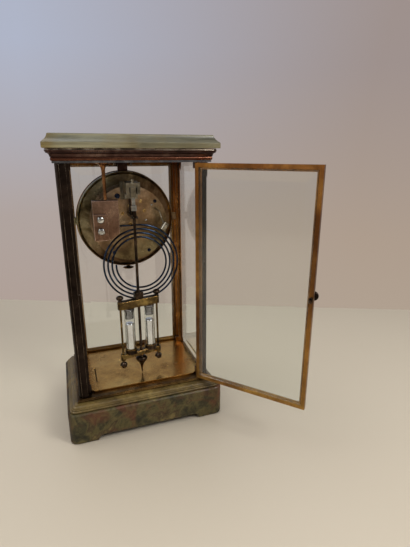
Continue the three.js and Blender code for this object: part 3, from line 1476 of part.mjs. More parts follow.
// Hammer: an arbor through both plates, an arm, a head beside the gong and a tail by the lifting pins
function hammer() {
  const headAt = polar(gongStrikeRadius + HAMMER_HEAD_LENGTH / 2, HAMMER_STRIKE_DIRECTION);
  const headX = GONG_OFFSET_X + headAt.x - hammerAt.x;
  const headZ = gongZ + headAt.y - movementZ - hammerAt.y;
  const armY = gongY - trainFront;
  const head = rodY(HAMMER_HEAD_RADIUS, -HAMMER_HEAD_LENGTH / 2, HAMMER_HEAD_LENGTH / 2, 14);
  head.rotateZ(-Math.PI / 2);
  head.rotateY(-radians(HAMMER_STRIKE_DIRECTION));
  head.translate(headX, armY, headZ);
  const armLength = Math.hypot(headX, headZ);
  const arm = rodZ(0.8, 0, armLength, 8);
  arm.rotateY(Math.atan2(headX, headZ));
  arm.translate(0, armY, 0);
  const spindle = turnedY([
    [0, SEAT - 1.2],
    [PIVOT_RADIUS, SEAT - 1.2],
    [PIVOT_RADIUS, SEAT],
    [HAMMER_ARBOR_RADIUS, SEAT],
    [HAMMER_ARBOR_RADIUS, armY + 1.2],
    [0, armY + 1.2],
  ], 10);
  const toPins = pinWheelAt.clone().sub(hammerAt);
  const tailLength = toPins.length() - pinCircleRadius - LIFTING_PIN_RADIUS - 0.5;
  const tailFront = pinWheelLayer + WHEEL_THICKNESS + 0.5;
  const tail = box(-0.7, tailLength, tailFront, tailFront + 1.5, -0.7, 0.7);
  tail.rotateY(-Math.atan2(toPins.y, toPins.x));
  return fuse(spindle, arm, head, tail);
}

// Suspension spring and its lower chop, turning about the anchor's axis
function suspensionSpring() {
  const low = -SUSPENSION_LENGTH;
  const halfWidth = SUSPENSION_WIDTH / 2;
  const halfThickness = SUSPENSION_THICKNESS / 2;
  const halfChop = CHOP_THICKNESS / 2;
  return fuse(
    box(-halfWidth, halfWidth, -halfThickness, halfThickness, low - 1, -0.2),
    box(-CHOP_WIDTH / 2, CHOP_WIDTH / 2, -halfChop, halfChop, low - CHOP_HEIGHT, low),
  );
}

// Pendulum rod with the hook block that carries the bob
function pendulumRod() {
  const top = anchorZ - SUSPENSION_LENGTH - CHOP_HEIGHT - SEAT;
  const bottom = yokeBottom - SEAT - ROD_THREAD_LENGTH;
  const halfX = HOOK_BLOCK_WIDTH / 2;
  const halfY = HOOK_BLOCK_DEPTH / 2;
  const blockBase = topYokeTop + SEAT;
  const collarBase = blockBase + HOOK_BLOCK_HEIGHT;
  const block = box(-halfX, halfX, -halfY, halfY, blockBase, collarBase);
  block.rotateZ(radians(BOB_TWIST));
  const collar = turnedZ([
    [0, collarBase - 1],
    [HOOK_COLLAR_RADIUS, collarBase - 1],
    [HOOK_COLLAR_RADIUS, collarBase + 1],
    [ROD_RADIUS, collarBase + 2.6],
    [0, collarBase + 2.6],
  ], 12);
  return fuse(rodZ(ROD_RADIUS, bottom, top, 12), block, collar, rodZ(2.2, top - 4, top, 12));
}

// Yoke outline seen from above: a bar with round ends and holes for the rods
function yokeShape(rodHole) {
  const reach = BOB_TIE_SPACING + BOB_YOKE_END - BOB_YOKE_DEPTH / 2;
  const shape = new THREE.Shape();
  shape.absarc(reach, 0, BOB_YOKE_DEPTH / 2, -Math.PI / 2, Math.PI / 2, false);
  shape.absarc(-reach, 0, BOB_YOKE_DEPTH / 2, Math.PI / 2, 3 * Math.PI / 2, false);
  shape.closePath();
  shape.holes.push(circlePath(0, 0, ROD_RADIUS + SEAT));
  [1, -1].forEach((side) => shape.holes.push(circlePath(side * BOB_TIE_SPACING, 0, rodHole)));
  return shape;
}

function bobTopYoke() {
  return slabZ(yokeShape(BOB_TIE_RADIUS + SEAT), topYokeBase, topYokeTop, 5);
}

function bobBottomYoke() {
  const inner = VIAL_RADIUS + SEAT;
  const cups = [1, -1].map((side) => moved(turnedZ([
    [0, yokeShelf - 1],
    [inner + CUP_WALL, yokeShelf - 1],
    [inner + CUP_WALL, yokeShelf + CUP_HEIGHT],
    [inner, yokeShelf + CUP_HEIGHT],
    [inner, yokeShelf],
    [0, yokeShelf],
  ], 14), side * vialOffset, 0, 0));
  return fuse(slabZ(yokeShape(BOB_TIE_RADIUS + SEAT), yokeBottom, yokeShelf, 5), ...cups);
}

// Tie rod with a ball finial on top and a petalled nut at its foot
function tieRod() {
  const top = topYokeTop + SEAT;
  const foot = yokeBottom - SEAT;
  const nutBase = foot - TIE_FOOT_LENGTH;
  return turnedZ([
    [0, nutBase],
    [TIE_NUT_RADIUS, nutBase + TIE_NUT_HEIGHT * 0.44],
    [TIE_NUT_RADIUS * 0.75, nutBase + TIE_NUT_HEIGHT * 0.84],
    [BOB_TIE_RADIUS, nutBase + TIE_NUT_HEIGHT],
    [BOB_TIE_RADIUS, foot - TIE_COLLAR_HEIGHT * 1.2],
    [TIE_COLLAR_RADIUS, foot - TIE_COLLAR_HEIGHT],
    [TIE_COLLAR_RADIUS, foot],
    [BOB_TIE_RADIUS, foot],
    [BOB_TIE_RADIUS, top],
    [TIE_FINIAL_RADIUS * 0.7, top],
    [TIE_FINIAL_RADIUS * 0.36, top + TIE_FINIAL_HEIGHT * 0.2],
    [TIE_FINIAL_RADIUS * 0.92, top + TIE_FINIAL_HEIGHT * 0.42],
    [TIE_FINIAL_RADIUS, top + TIE_FINIAL_HEIGHT * 0.62],
    [TIE_FINIAL_RADIUS * 0.7, top + TIE_FINIAL_HEIGHT * 0.86],
    [0, top + TIE_FINIAL_HEIGHT],
  ], 10);
}

function vial() {
  const z0 = yokeShelf + SEAT;
  const z1 = vialTop;
  const inner = VIAL_RADIUS - VIAL_WALL;
  return turnedZ([
    [0, z0],
    [VIAL_RADIUS - 0.8, z0],
    [VIAL_RADIUS, z0 + 0.8],
    [VIAL_RADIUS, z1],
    [inner, z1],
    [inner, z0 + VIAL_FLOOR],
    [0, z0 + VIAL_FLOOR],
  ], 14);
}

function mercury() {
  const z0 = yokeShelf + 2 * SEAT + VIAL_FLOOR;
  const radius = VIAL_RADIUS - VIAL_WALL - SEAT;
  const z1 = z0 + MERCURY_HEIGHT;
  return turnedZ([
    [0, z0],
    [radius, z0],
    [radius, z1 - 1],
    [radius - 0.8, z1 - 0.3],
    [0, z1],
  ], 14);
}

function stopper() {
  const z1 = topYokeBase - SEAT;
  const radius = VIAL_RADIUS - VIAL_WALL - SEAT;
  const rim = z1 - STOPPER_RIM;
  return turnedZ([
    [0, z1 - STOPPER_LENGTH],
    [radius, z1 - STOPPER_LENGTH],
    [radius, rim],
    [VIAL_RADIUS, rim],
    [VIAL_RADIUS, z1],
    [0, z1],
  ], 14);
}

// Drop finial, which is the rating nut on the rod's threaded end and carries the bob
function dropFinial() {
  const r = DROP_FINIAL_RADIUS;
  const length = DROP_FINIAL_LENGTH;
  const bore = ROD_RADIUS + SEAT;
  return turnedZ([
    [0, pendulumTip],
    [0.7, pendulumTip + length * 0.12],
    [1.2, pendulumTip + length * 0.3],
    [r * 0.42, pendulumTip + length * 0.5],
    [r * 0.8, pendulumTip + length * 0.64],
    [r, pendulumTip + length * 0.76],
    [r * 0.86, pendulumTip + length * 0.86],
    [r * 0.4, pendulumTip + length * 0.92],
    [r * 0.5, pendulumTip + length],
    [bore, pendulumTip + length],
    [bore, pendulumTip + length - ROD_THREAD_LENGTH - SEAT],
    [0, pendulumTip + length - ROD_THREAD_LENGTH - SEAT],
  ], 14);
}

// The case
piece('base_plinth', plinth(), mottledStone);
piece('base_moulding', baseMoulding(), mottledStone).position.z = mouldingBase;
piece('base_tie_bolt', tieBolt(), darkSteel);
piece('bottom_frame', bottomFrame(), darkBrass);
piece('floor_plate', floorPlate(), floorBrass);
piece('column_front_left', column(-1, -1, true), darkBrass);
piece('column_front_right', column(1, -1, false), darkBrass);
piece('column_rear_left', column(-1, 1, false), darkBrass);
piece('column_rear_right', column(1, 1, true), darkBrass);
piece('left_glass', sidePane(-1), glass);
piece('right_glass', sidePane(1), glass);
piece('cornice', cornice(), darkBrass);
piece('top_slab', topSlab(), onyx);
door('front', -1, 0);
door('rear', 1, REAR_DOOR_OPEN);

// The drum, the dial and the movement
piece('movement_drum', drum(), drumGreen).position.z = movementZ;
piece('top_strap', topStrap(), darkBrass).position.z = movementZ;
piece('bezel', bezel(), doorBrass).position.z = movementZ;
piece('dial', dial(), enamel).position.z = movementZ;
piece('front_plate', frontPlate(), plateBrass).position.set(0, trainFront, movementZ);
piece('back_plate', backPlate(), plateBrass).position.set(0, backPlateFront, movementZ);
piece('suspension_cock', suspensionCock(), plateBrass).position.z = anchorZ;
goingTrain();
moveToArbor(piece('anchor', anchor(), darkSteel), anchorAt);
strikeTrain();
moveToArbor(piece('hammer', hammer(), polishedSteel), hammerAt);
motionWork();
hands();

// The gong and its block
const gongPoints = gongPath();
console.log(`least gap between gong turns ${leastGongGap(gongPoints).toFixed(2)} mm`);
piece('gong', gong(gongPoints), blueSteel);
piece('gong_block', gongBlock(), blockCopper);
piece('gong_clamp', gongClamp(), blockCopper);
['gong_screw_lower', 'gong_screw_upper'].forEach((name, i) => {
  const screw = piece(name, clampScrew(), polishedSteel);
  screw.position.set(clampX, clampFront + CLAMP_THICKNESS, screwHeights[i]);
});
piece('gong_post', gongPost(), blockCopper).position.set(BLOCK_OFFSET_X - 0.8, gongY, blockTop + SEAT);

// The pendulum, with its bob turned a little about the rod
const pendulum = new THREE.Group();
pendulum.position.set(0, pendulumY, 0);
piece('suspension_spring', suspensionSpring(), polishedSteel, pendulum).position.z = anchorZ;
piece('pendulum_rod', pendulumRod(), darkSteel, pendulum);
const bob = new THREE.Group();
bob.rotation.z = radians(BOB_TWIST);
piece('bob_top_yoke', bobTopYoke(), bobBrass, bob);
piece('bob_bottom_yoke', bobBottomYoke(), bobBrass, bob);
piece('drop_finial', dropFinial(), darkBrass, bob);
[['left', -1], ['right', 1]].forEach(([name, side]) => {
  piece(`bob_tie_${name}`, tieRod(), bobBrass, bob).position.x = side * BOB_TIE_SPACING;
  piece(`vial_${name}`, vial(), glass, bob).position.x = side * vialOffset;
  piece(`mercury_${name}`, mercury(), quicksilver, bob).position.x = side * vialOffset;
  piece(`stopper_${name}`, stopper(), polishedSteel, bob).position.x = side * vialOffset;
});
pendulum.add(bob);
clock.add(pendulum);

export default clock;
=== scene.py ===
"""Looks of a four-glass clock seen from behind, with its rear door open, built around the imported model.

Turned, wound and lobed pieces are worked out as numpy surfaces, sawn and filed ones are merged copies of the
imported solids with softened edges, and every piece gets a procedural finish. Sizes are millimetres in the
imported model's frame, and each mesh is written in metres.
"""

import json
import logging
import math
from dataclasses import dataclass, replace
from enum import Enum
from typing import Callable, Sequence

import bmesh
import bpy
import numpy as np
from bpy.types import Material, Mesh, Node, NodeSocket, Object, World
from mathutils import Matrix, Vector

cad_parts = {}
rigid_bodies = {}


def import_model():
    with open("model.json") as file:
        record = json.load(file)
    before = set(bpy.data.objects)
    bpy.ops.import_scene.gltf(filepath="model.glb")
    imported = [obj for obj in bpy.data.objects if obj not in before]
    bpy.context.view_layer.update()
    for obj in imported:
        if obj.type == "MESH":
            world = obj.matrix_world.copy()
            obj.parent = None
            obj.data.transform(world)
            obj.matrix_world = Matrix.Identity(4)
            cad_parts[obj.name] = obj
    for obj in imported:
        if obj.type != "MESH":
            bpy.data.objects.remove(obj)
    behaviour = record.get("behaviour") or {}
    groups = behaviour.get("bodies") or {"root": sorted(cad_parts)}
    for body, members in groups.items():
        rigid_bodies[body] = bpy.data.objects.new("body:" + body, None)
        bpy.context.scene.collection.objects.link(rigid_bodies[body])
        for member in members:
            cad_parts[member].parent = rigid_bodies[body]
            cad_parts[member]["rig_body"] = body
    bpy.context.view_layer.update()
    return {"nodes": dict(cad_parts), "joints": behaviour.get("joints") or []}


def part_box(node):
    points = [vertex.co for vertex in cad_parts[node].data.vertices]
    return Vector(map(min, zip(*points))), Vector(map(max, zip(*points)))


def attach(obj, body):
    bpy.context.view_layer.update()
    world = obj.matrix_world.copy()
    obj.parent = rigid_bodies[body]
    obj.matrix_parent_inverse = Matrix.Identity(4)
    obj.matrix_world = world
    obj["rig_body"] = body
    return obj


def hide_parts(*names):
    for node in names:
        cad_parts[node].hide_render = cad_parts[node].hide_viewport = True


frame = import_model()

MM = 0.001
PHOTO_WIDTH = 410
PHOTO_HEIGHT = 547
DOUBLE_REACH = 1e-7
FLAT_ANGLE = math.radians(0.6)
SHARP_ANGLE = math.radians(32)
MOULDED_ANGLE = math.radians(38)

Points = Sequence[Sequence[float]]
Stops = tuple[tuple[float, str], ...]
Chooser = Callable[[np.ndarray, np.ndarray], np.ndarray]

log = logging.getLogger("clock")


class Axis(Enum):
    """Direction along which a turned or sawn piece lies in the object's frame."""

    Y = (0.0, 1.0, 0.0)
    Z = (0.0, 0.0, 1.0)


class Grain(Enum):
    """Direction of the fine lines that a finish was rubbed with, as stretches of its pattern."""

    NONE = (1.0, 1.0, 1.0)
    ALONG_X = (0.02, 1.0, 1.0)
    ALONG_Z = (1.0, 1.0, 0.02)


def linear(colour: str) -> tuple[float, float, float, float]:
    """Turns a colour written as #rrggbb into the linear values that shaders take.

    Args:
        colour: the colour as it should look on a screen.

    Returns:
        Red, green, blue and an alpha of 1. Each channel c becomes ((c + 0.055) / 1.055) to the power 2.4.
    """
    channels = np.array([int(colour[i:i + 2], 16) for i in (1, 3, 5)]) / 255.0
    curved = ((channels + 0.055) / 1.055) ** 2.4
    red, green, blue = np.where(channels <= 0.04045, channels / 12.92, curved)
    return float(red), float(green), float(blue), 1.0


class Shader:
    """A material's or the world's node tree, with short calls for the nodes that the finishes share."""

    def __init__(self, name: str, world: World | None = None) -> None:
        """Starts an empty tree in a new material of that name, or in the given world."""
        self.material = world or bpy.data.materials.new(name)
        self.material.use_nodes = True
        self.tree = self.material.node_tree
        self.tree.nodes.clear()
        self.out = self.tree.nodes.new("ShaderNodeOutputWorld" if world else "ShaderNodeOutputMaterial")

    def node(self, kind: str, inputs: dict | None = None, **settings: object) -> Node:
        """Adds a node.

        Args:
            kind: the node's type without its "ShaderNode" prefix.
            inputs: values or sockets for its inputs, by name or number.
            settings: the node's own properties.

        Returns:
            The new node.
        """
        made = self.tree.nodes.new("ShaderNode" + kind)
        for key, value in settings.items():
            setattr(made, key, value)
        for key, value in (inputs or {}).items():
            if isinstance(value, NodeSocket):
                self.tree.links.new(value, made.inputs[key])
            else:
                made.inputs[key].default_value = value
        return made

    def place(self, stretch: Sequence[float] = (1, 1, 1), turn: Sequence[float] = (0, 0, 0)) -> NodeSocket:
        """Object coordinates, stretched and turned by the given amounts."""
        where = self.node("TexCoord").outputs["Object"]
        return self.node("Mapping", {"Vector": where, "Scale": stretch, "Rotation": turn}).outputs["Vector"]

    def noise(self, where: NodeSocket, scale: float, detail: float, rough: float = 0.55,
              warp: float = 0.0) -> NodeSocket:
        """A cloudy pattern from 0 to 1 whose patches are about 1 / scale metres across."""
        settings = {"Vector": where, "Scale": scale, "Detail": detail, "Roughness": rough, "Distortion": warp}
        return self.node("TexNoise", settings).outputs["Fac"]

    def ramp(self, value: NodeSocket, stops: Stops) -> NodeSocket:
        """Colours picked along a value from stops of (place, colour)."""
        made = self.node("ValToRGB", {"Fac": value})
        elements = made.color_ramp.elements
        while len(elements) < len(stops):
            elements.new(0.5)
        for element, (place, colour) in zip(elements, stops):
            element.position = place
            element.color = linear(colour)
        return made.outputs["Color"]

    def spread(self, value: NodeSocket, low: float, high: float, start: float = 0.3,
               end: float = 0.7) -> NodeSocket:
        """A value's span from start to end carried over to low to high."""
        return self.node("MapRange", {"Value": value, 1: start, 2: end, 3: low, 4: high}).outputs["Result"]

    def mix(self, share: NodeSocket | float, first: object, second: object, blend: str = "MIX") -> NodeSocket:
        """Two colours mixed by a share."""
        settings = {0: share, 6: first, 7: second}
        return self.node("Mix", settings, data_type="RGBA", blend_type=blend).outputs[2]

    def maths(self, operation: str, *values: object) -> NodeSocket:
        """One operation on up to three values."""
        return self.node("Math", dict(enumerate(values)), operation=operation).outputs[0]

    def along(self, way: Sequence[float], start: float, waver: float) -> NodeSocket:
        """How far a point lies along a direction: its dot product with way, plus start and a cloudy waver."""
        where = self.node("TexCoord").outputs["Object"]
        reach = self.node("VectorMath", {0: where, 1: tuple(way)}, operation="DOT_PRODUCT").outputs["Value"]
        clouds = self.spread(self.noise(self.place(), scale=30, detail=4), -waver, waver)
        return self.maths("ADD", self.maths("ADD", reach, start), clouds)

    def bump(self, height: NodeSocket, strength: float, depth: float,
             under: NodeSocket | None = None) -> NodeSocket:
        """A normal pushed about by a height pattern, with its depth in metres."""
        settings = {"Height": height, "Strength": strength, "Distance": depth}
        if under is not None:
            settings["Normal"] = under
        return self.node("Bump", settings).outputs["Normal"]

    def finish(self, surface: NodeSocket) -> Material:
        """Ends the tree with its surface and hands over the material."""
        self.tree.links.new(surface, self.out.inputs["Surface"])
        return self.material

    def principled(self, inputs: dict) -> Material:
        """Ends the tree with one principled shader of those inputs."""
        return self.finish(self.node("BsdfPrincipled", inputs).outputs["BSDF"])


@dataclass(frozen=True)
class Finish:
    """What all finishes share: a name, and the record's slot that they stand for."""

    name: str
    slot: str

    def material(self) -> Material:
        """The finish as a material, made once."""
        return bpy.data.materials.get(self.name) or self.mixed()

    def mixed(self) -> Material:
        """Builds the material."""
        raise NotImplementedError


@dataclass(frozen=True)
class Drift:
    """A slow change of tone across a piece: stops of (place, colour) along a direction given per metre."""

    way: tuple[float, float, float]
    start: float
    stops: Stops
    waver: float = 0.2

    def tint(self, make: Shader, tone: NodeSocket) -> NodeSocket:
        """The tone multiplied by the stops' colours."""
        reach = make.along(self.way, self.start, self.waver)
        return make.mix(1.0, tone, make.ramp(reach, self.stops), "MULTIPLY")


@dataclass(frozen=True)
class AgedMetal(Finish):
    """Metal with tarnish in patches, a fine speckle and rubbed lines.

    The patches pick between a dark, a middle and a bright tone, and on the blued steel the bright ones are
    painted highlights. A drift paints light and shade on some pieces. Roughness and bump follow the same
    patterns.
    """

    dark: str
    body: str
    bright: str
    patch: float = 45.0
    span: tuple[float, float] = (0.34, 0.66)
    roughness: tuple[float, float] = (0.24, 0.42)
    grain: Grain = Grain.NONE
    rubbing: float = 0.25
    pitting: float = 0.12
    warp: float = 0.4
    drift: Drift | None = None
    speckle_scale: float = 9.0
    speckle_tones: tuple[float, float] = (0.62, 1.12)
    speckle_depth: float = 0.0003
    line_scale: float = 2600.0
    line_depth: float = 0.00006

    def mixed(self) -> Material:
        """Builds the patches, the speckle and the rubbed lines."""
        make = Shader(self.name)
        plain = make.place()
        patches = make.noise(plain, self.patch, detail=7, rough=0.62, warp=self.warp)
        speckle = make.noise(plain, self.patch * self.speckle_scale, detail=5, rough=0.6)
        lines = make.noise(make.place(self.grain.value), self.line_scale, detail=3, rough=0.5)
        low, high = self.span
        tone = make.ramp(patches, ((low, self.dark), ((low + high) / 2, self.body), (high, self.bright)))
        tone = make.mix(0.8, tone, make.spread(speckle, *self.speckle_tones), "MULTIPLY")
        tone = make.mix(0.6, tone, make.spread(lines, 1 - self.rubbing, 1 + self.rubbing), "MULTIPLY")
        if self.drift is not None:
            tone = self.drift.tint(make, tone)
        smooth, coarse = self.roughness
        worn = make.maths("ADD", make.maths("MULTIPLY", patches, 0.6), make.maths("MULTIPLY", speckle, 0.4))
        pits = make.bump(speckle, self.pitting, self.speckle_depth)
        return make.principled({
            "Base Color": tone, "Roughness": make.spread(worn, coarse, smooth, start=0.36, end=0.64),
            "Normal": make.bump(lines, self.rubbing * 0.35, self.line_depth, pits), "Metallic": 1.0,
        })


@dataclass(frozen=True)
class Stone(Finish):
    """Polished onyx: clouds of several tones drawn out in bands, thin veins and a glassy polish."""

    tones: Stops
    vein: str
    stretch: tuple[float, float, float] = (1.0, 1.0, 1.0)
    cloud: float = 26.0
    warp: float = 1.2
    veins: float = 0.5
    stain: str = "#5a3a22"
    stained: float = 0.4
    fine_scale: float = 5.0
    roughness: tuple[float, float] = (0.22, 0.42)
    coat: float = 0.25
    gloss: float = 0.5
    stain_scale: float = 0.9
    ridge_scale: float = 0.7
    vein_width: float = 0.018
    grit_depth: float = 0.0002
    drift: Drift | None = None

    def mixed(self) -> Material:
        """Builds the clouds, the stains and the veins, which lie where a pattern crosses its middle."""
        make = Shader(self.name)
        where = make.place(self.stretch, turn=(0.06, 0.04, 0.1))
        clouds = make.noise(where, self.cloud, detail=9, rough=0.62, warp=self.warp)
        fine = make.noise(where, self.cloud * self.fine_scale, detail=8, rough=0.65, warp=0.6)
        tone = make.mix(0.8, make.ramp(clouds, self.tones), make.spread(fine, 0.5, 1.5), "MULTIPLY")
        aside = make.place(turn=(0.5, 0.3, 0.9))
        stains = make.noise(aside, self.cloud * self.stain_scale, detail=6, rough=0.6, warp=0.8)
        tone = make.mix(make.spread(stains, 0, self.stained, 0.52, 0.68), tone, linear(self.stain))
        across = make.place(self.stretch, turn=(0.3, 0.5, 0.2))
        ridge = make.noise(across, self.cloud * self.ridge_scale, detail=5, rough=0.6, warp=2.2)
        away = make.maths("ABSOLUTE", make.maths("SUBTRACT", ridge, 0.5))
        tone = make.mix(make.spread(away, self.veins, 0, 0.0, self.vein_width), tone, linear(self.vein))
        if self.drift is not None:
            tone = self.drift.tint(make, tone)
        return make.principled({
            "Base Color": tone, "Roughness": make.spread(fine, *self.roughness),
            "Normal": make.bump(fine, strength=0.12, depth=self.grit_depth), "IOR": 1.5,
            "Specular IOR Level": self.gloss, "Coat Weight": self.coat, "Coat Roughness": 0.12,
        })


@dataclass(frozen=True)
class Glass(Finish):
    """Clear glass that lets lamps through, with a faint film of dust that lifts its roughness in places."""

    tint: str = "#f4f8f5"
    ior: float = 1.5
    film: float = 0.02

    def mixed(self) -> Material:
        """Builds the glass, with a clear side for the rays that come from lamps."""
        make = Shader(self.name)
        dust = make.noise(make.place(), scale=14, detail=5, rough=0.6, warp=0.3)
        glass = make.node("BsdfPrincipled", {
            "Base Color": linear(self.tint), "Roughness": make.spread(dust, 0, self.film, 0.5, 0.75),
            "IOR": self.ior, "Transmission Weight": 1.0,
        })
        clear = make.node("BsdfTransparent", {"Color": linear(self.tint)})
        lamps = make.node("LightPath").outputs["Is Shadow Ray"]
        both = make.node("MixShader", {0: lamps, 1: glass.outputs[0], 2: clear.outputs[0]})
        return make.finish(both.outputs[0])


@dataclass(frozen=True)
class Coated(Finish):
    """A smooth coat over one tone: enamel, paint or quicksilver, with faint clouds in tone and gloss."""

    tone: str
    shade: str
    metallic: float = 0.0
    roughness: tuple[float, float] = (0.12, 0.2)
    coat: float = 0.0

    def mixed(self) -> Material:
        """Builds the clouds in the tone and in the gloss."""
        make = Shader(self.name)
        clouds = make.noise(make.place(), scale=60, detail=4, rough=0.5)
        return make.principled({
            "Base Color": make.ramp(clouds, ((0.3, self.shade), (0.7, self.tone))),
            "Roughness": make.spread(clouds, *self.roughness),
            "Metallic": self.metallic, "Coat Weight": self.coat, "Coat Roughness": 0.05,
        })


PLINTH_STONE = Stone(
    "plinth_onyx", "plinth_stone", vein="#7d704a", cloud=42.0, warp=0.5, veins=0.12, stained=0.75,
    stain="#5c3120", fine_scale=4.0, roughness=(0.36, 0.6), coat=0.03, gloss=0.22,
    tones=((0.34, "#1f1d15"), (0.44, "#37321f"), (0.5, "#4f4629"), (0.56, "#3a2c1d"), (0.66, "#6a5d38")),
    # The drift is painted shade: it darkens and warms the plinth's end face at +x, against the pale light
    # that face mirrors.
    drift=Drift((60.0, 0.0, 0.0), -4.0, ((0.55, "#ffffff"), (0.75, "#c8a47c")), waver=0.03))
MOULDING_STONE = Stone(
    "moulding_onyx", "plinth_stone", vein="#2c2413", cloud=40.0, warp=0.5, veins=0.2, stained=0.4,
    stain="#3a2512", roughness=(0.3, 0.5), coat=0.1, gloss=0.35,
    tones=((0.3, "#3a2d17"), (0.45, "#564624"), (0.58, "#67552d"), (0.72, "#7d6b3c")))
SLAB_ONYX = Stone(
    "slab_onyx_green", "slab_onyx", vein="#a39d7e", stretch=(0.25, 0.4, 2.6), cloud=22.0, warp=0.6,
    veins=0.25, stained=0.35, stain="#75602c", roughness=(0.28, 0.46), coat=0.1, gloss=0.35,
    tones=((0.3, "#4f4b33"), (0.44, "#66614a"), (0.55, "#736d55"), (0.7, "#8a8468")),
    drift=Drift((10.0, 0.0, -5.0), 1.55, (
        (0.0, "#e4e2dc"), (0.3, "#ffffff"), (0.75, "#ffffff"), (1.0, "#ecd28c"))))
# Painted shade: darker tones for the slab's top and hollow, where the light from above falls brightest.
SLAB_TOP_SHADE = replace(
    SLAB_ONYX, name="slab_onyx_top_painted_shade", vein="#878570",
    tones=((0.3, "#42402d"), (0.44, "#555242"), (0.55, "#5f5d4c"), (0.7, "#73705d")))
CASE_BRASS = AgedMetal(
    "case_brass_dark", "case_brass", "#231917", "#4a352f", "#776056",
    patch=28, roughness=(0.24, 0.44), grain=Grain.ALONG_X)
COLUMN_BRASS = AgedMetal(
    "column_brass_dark", "case_brass", "#1a1411", "#2d241f", "#4c3e36",
    patch=20, roughness=(0.22, 0.42), grain=Grain.ALONG_Z)
COPPER_BAND = AgedMetal(
    "cornice_copper", "case_brass", "#3a221a", "#5f3b2c", "#84583f",
    patch=24, roughness=(0.2, 0.36), grain=Grain.ALONG_X)
# Painted reflection: a silvery, bluish tone for the cornice's lower band, standing for the pale wall mirrored
# in it.
SILVER_REFLECTION_BAND = AgedMetal(
    "cornice_painted_reflection", "case_brass", "#4a4a4d", "#77787c", "#a9abb0",
    patch=60, roughness=(0.18, 0.34), grain=Grain.ALONG_X)
# Greyish bright tone: worn edges on the columns and the strap, and painted glints on the cornice's top edge.
WORN_EDGE_AND_GLINT = AgedMetal(
    "worn_edge_and_glint", "case_brass", "#5e5146", "#8b7c6c", "#b8ab9a",
    patch=90, span=(0.42, 0.6), roughness=(0.18, 0.34))
GOLD_EDGE = AgedMetal(
    "worn_edge_gold", "door_brass", "#6f5128", "#a27b43", "#cfa768", patch=60, roughness=(0.18, 0.34))
# Golden-brown of the columns' inward faces, brightened into a painted highlight; its drift makes it darker
# towards the top.
INNER_GOLD_AND_HIGHLIGHT = AgedMetal(
    "inner_gold_and_painted_highlight", "case_brass", "#4c3019", "#8a5c2e", "#c48e4a",
    patch=18, roughness=(0.22, 0.4), grain=Grain.ALONG_Z,
    drift=Drift((0.0, 0.0, -4.4), 1.1, ((0.0, "#c4a294"), (0.6, "#ffffff"))))
DOOR_BRASS = AgedMetal(
    "door_brass_aged", "door_brass", "#6a4a2e", "#97713f", "#c29a52",
    patch=11, span=(0.38, 0.62), roughness=(0.24, 0.4), grain=Grain.ALONG_Z,
    drift=Drift((0.0, 0.0, -4.4), 1.2, ((0.0, "#ccb2a6"), (0.5, "#ece0d6"), (1.0, "#ffffff"))))
FLOOR_BRASS = AgedMetal(
    "floor_brass_polished", "floor_brass", "#ab7e40", "#d09f57", "#e2b86e",
    patch=26, roughness=(0.16, 0.3), rubbing=0.1, pitting=0.04, grain=Grain.ALONG_X)
PLATE_BRASS = AgedMetal(
    "plate_brass_grained", "plate_brass", "#8c7864", "#bca68c", "#e0d3be",
    patch=42, roughness=(0.24, 0.42), rubbing=0.2, grain=Grain.ALONG_Z,
    drift=Drift((9.0, 0.0, 12.0), -2.1, ((0.0, "#a09c84"), (0.45, "#e0cdb8"), (1.0, "#ffffff"))))
COCK_BRASS = AgedMetal(
    "cock_grey", "plate_brass", "#5d5546", "#8f8672", "#c0b7a2",
    patch=60, roughness=(0.24, 0.4), grain=Grain.ALONG_Z)
WHEEL_BRASS = AgedMetal(
    "wheel_brass_cut", "wheel_brass", "#8f6a34", "#c09a55", "#e0c080", patch=70, roughness=(0.18, 0.32))
# The drift is painted light and shade across the dish: lighter towards the upper left, darker and browner
# towards the lower right, where its inside lies in shadow.
DRUM_BRASS = AgedMetal(
    "drum_brass_green", "drum_brass", "#56523f", "#97937a", "#cfd2bb",
    patch=34, roughness=(0.24, 0.46), warp=1.4,
    drift=Drift((9.0, 0.0, 7.0), -1.4, ((0.0, "#b48e7a"), (0.5, "#d8c8b4"), (1.0, "#ffffff"))))
BOB_BRASS = AgedMetal(
    "bob_brass_gilt", "bob_brass", "#33281a", "#5c4a2d", "#917a48", patch=90, roughness=(0.2, 0.38))
# The drift is painted shade: the block is darker towards its lower part.
BLOCK_BRASS = AgedMetal(
    "block_brass_brushed", "block_brass", "#705848", "#9a7b69", "#bfa08a",
    patch=40, roughness=(0.22, 0.36), rubbing=0.3, grain=Grain.ALONG_Z,
    drift=Drift((0.0, 0.0, 20.0), -3.9, ((0.0, "#c6bdb4"), (0.6, "#ffffff"))))
BRIGHT_STEEL = AgedMetal(
    "bright_steel_polished", "bright_steel", "#8d8d8c", "#bdbdba", "#e2e2de",
    patch=120, roughness=(0.08, 0.22), pitting=0.05)
DARK_STEEL = AgedMetal(
    "dark_steel_oiled", "dark_steel", "#1a1512", "#33281f", "#57473a", patch=60, roughness=(0.22, 0.4))
# Blued steel whose bright pale-blue patches are painted highlights.
GLINTING_BLUE_STEEL = AgedMetal(
    "blue_steel_with_painted_glints", "blue_steel", "#151a24", "#2b384d", "#a4bcdc",
    patch=34, span=(0.36, 0.74), roughness=(0.12, 0.26), pitting=0.04)
HAMMER_STEEL = AgedMetal(
    "hammer_steel_dull", "bright_steel", "#655d51", "#8f8675", "#cbc4b2", patch=90, roughness=(0.2, 0.36))
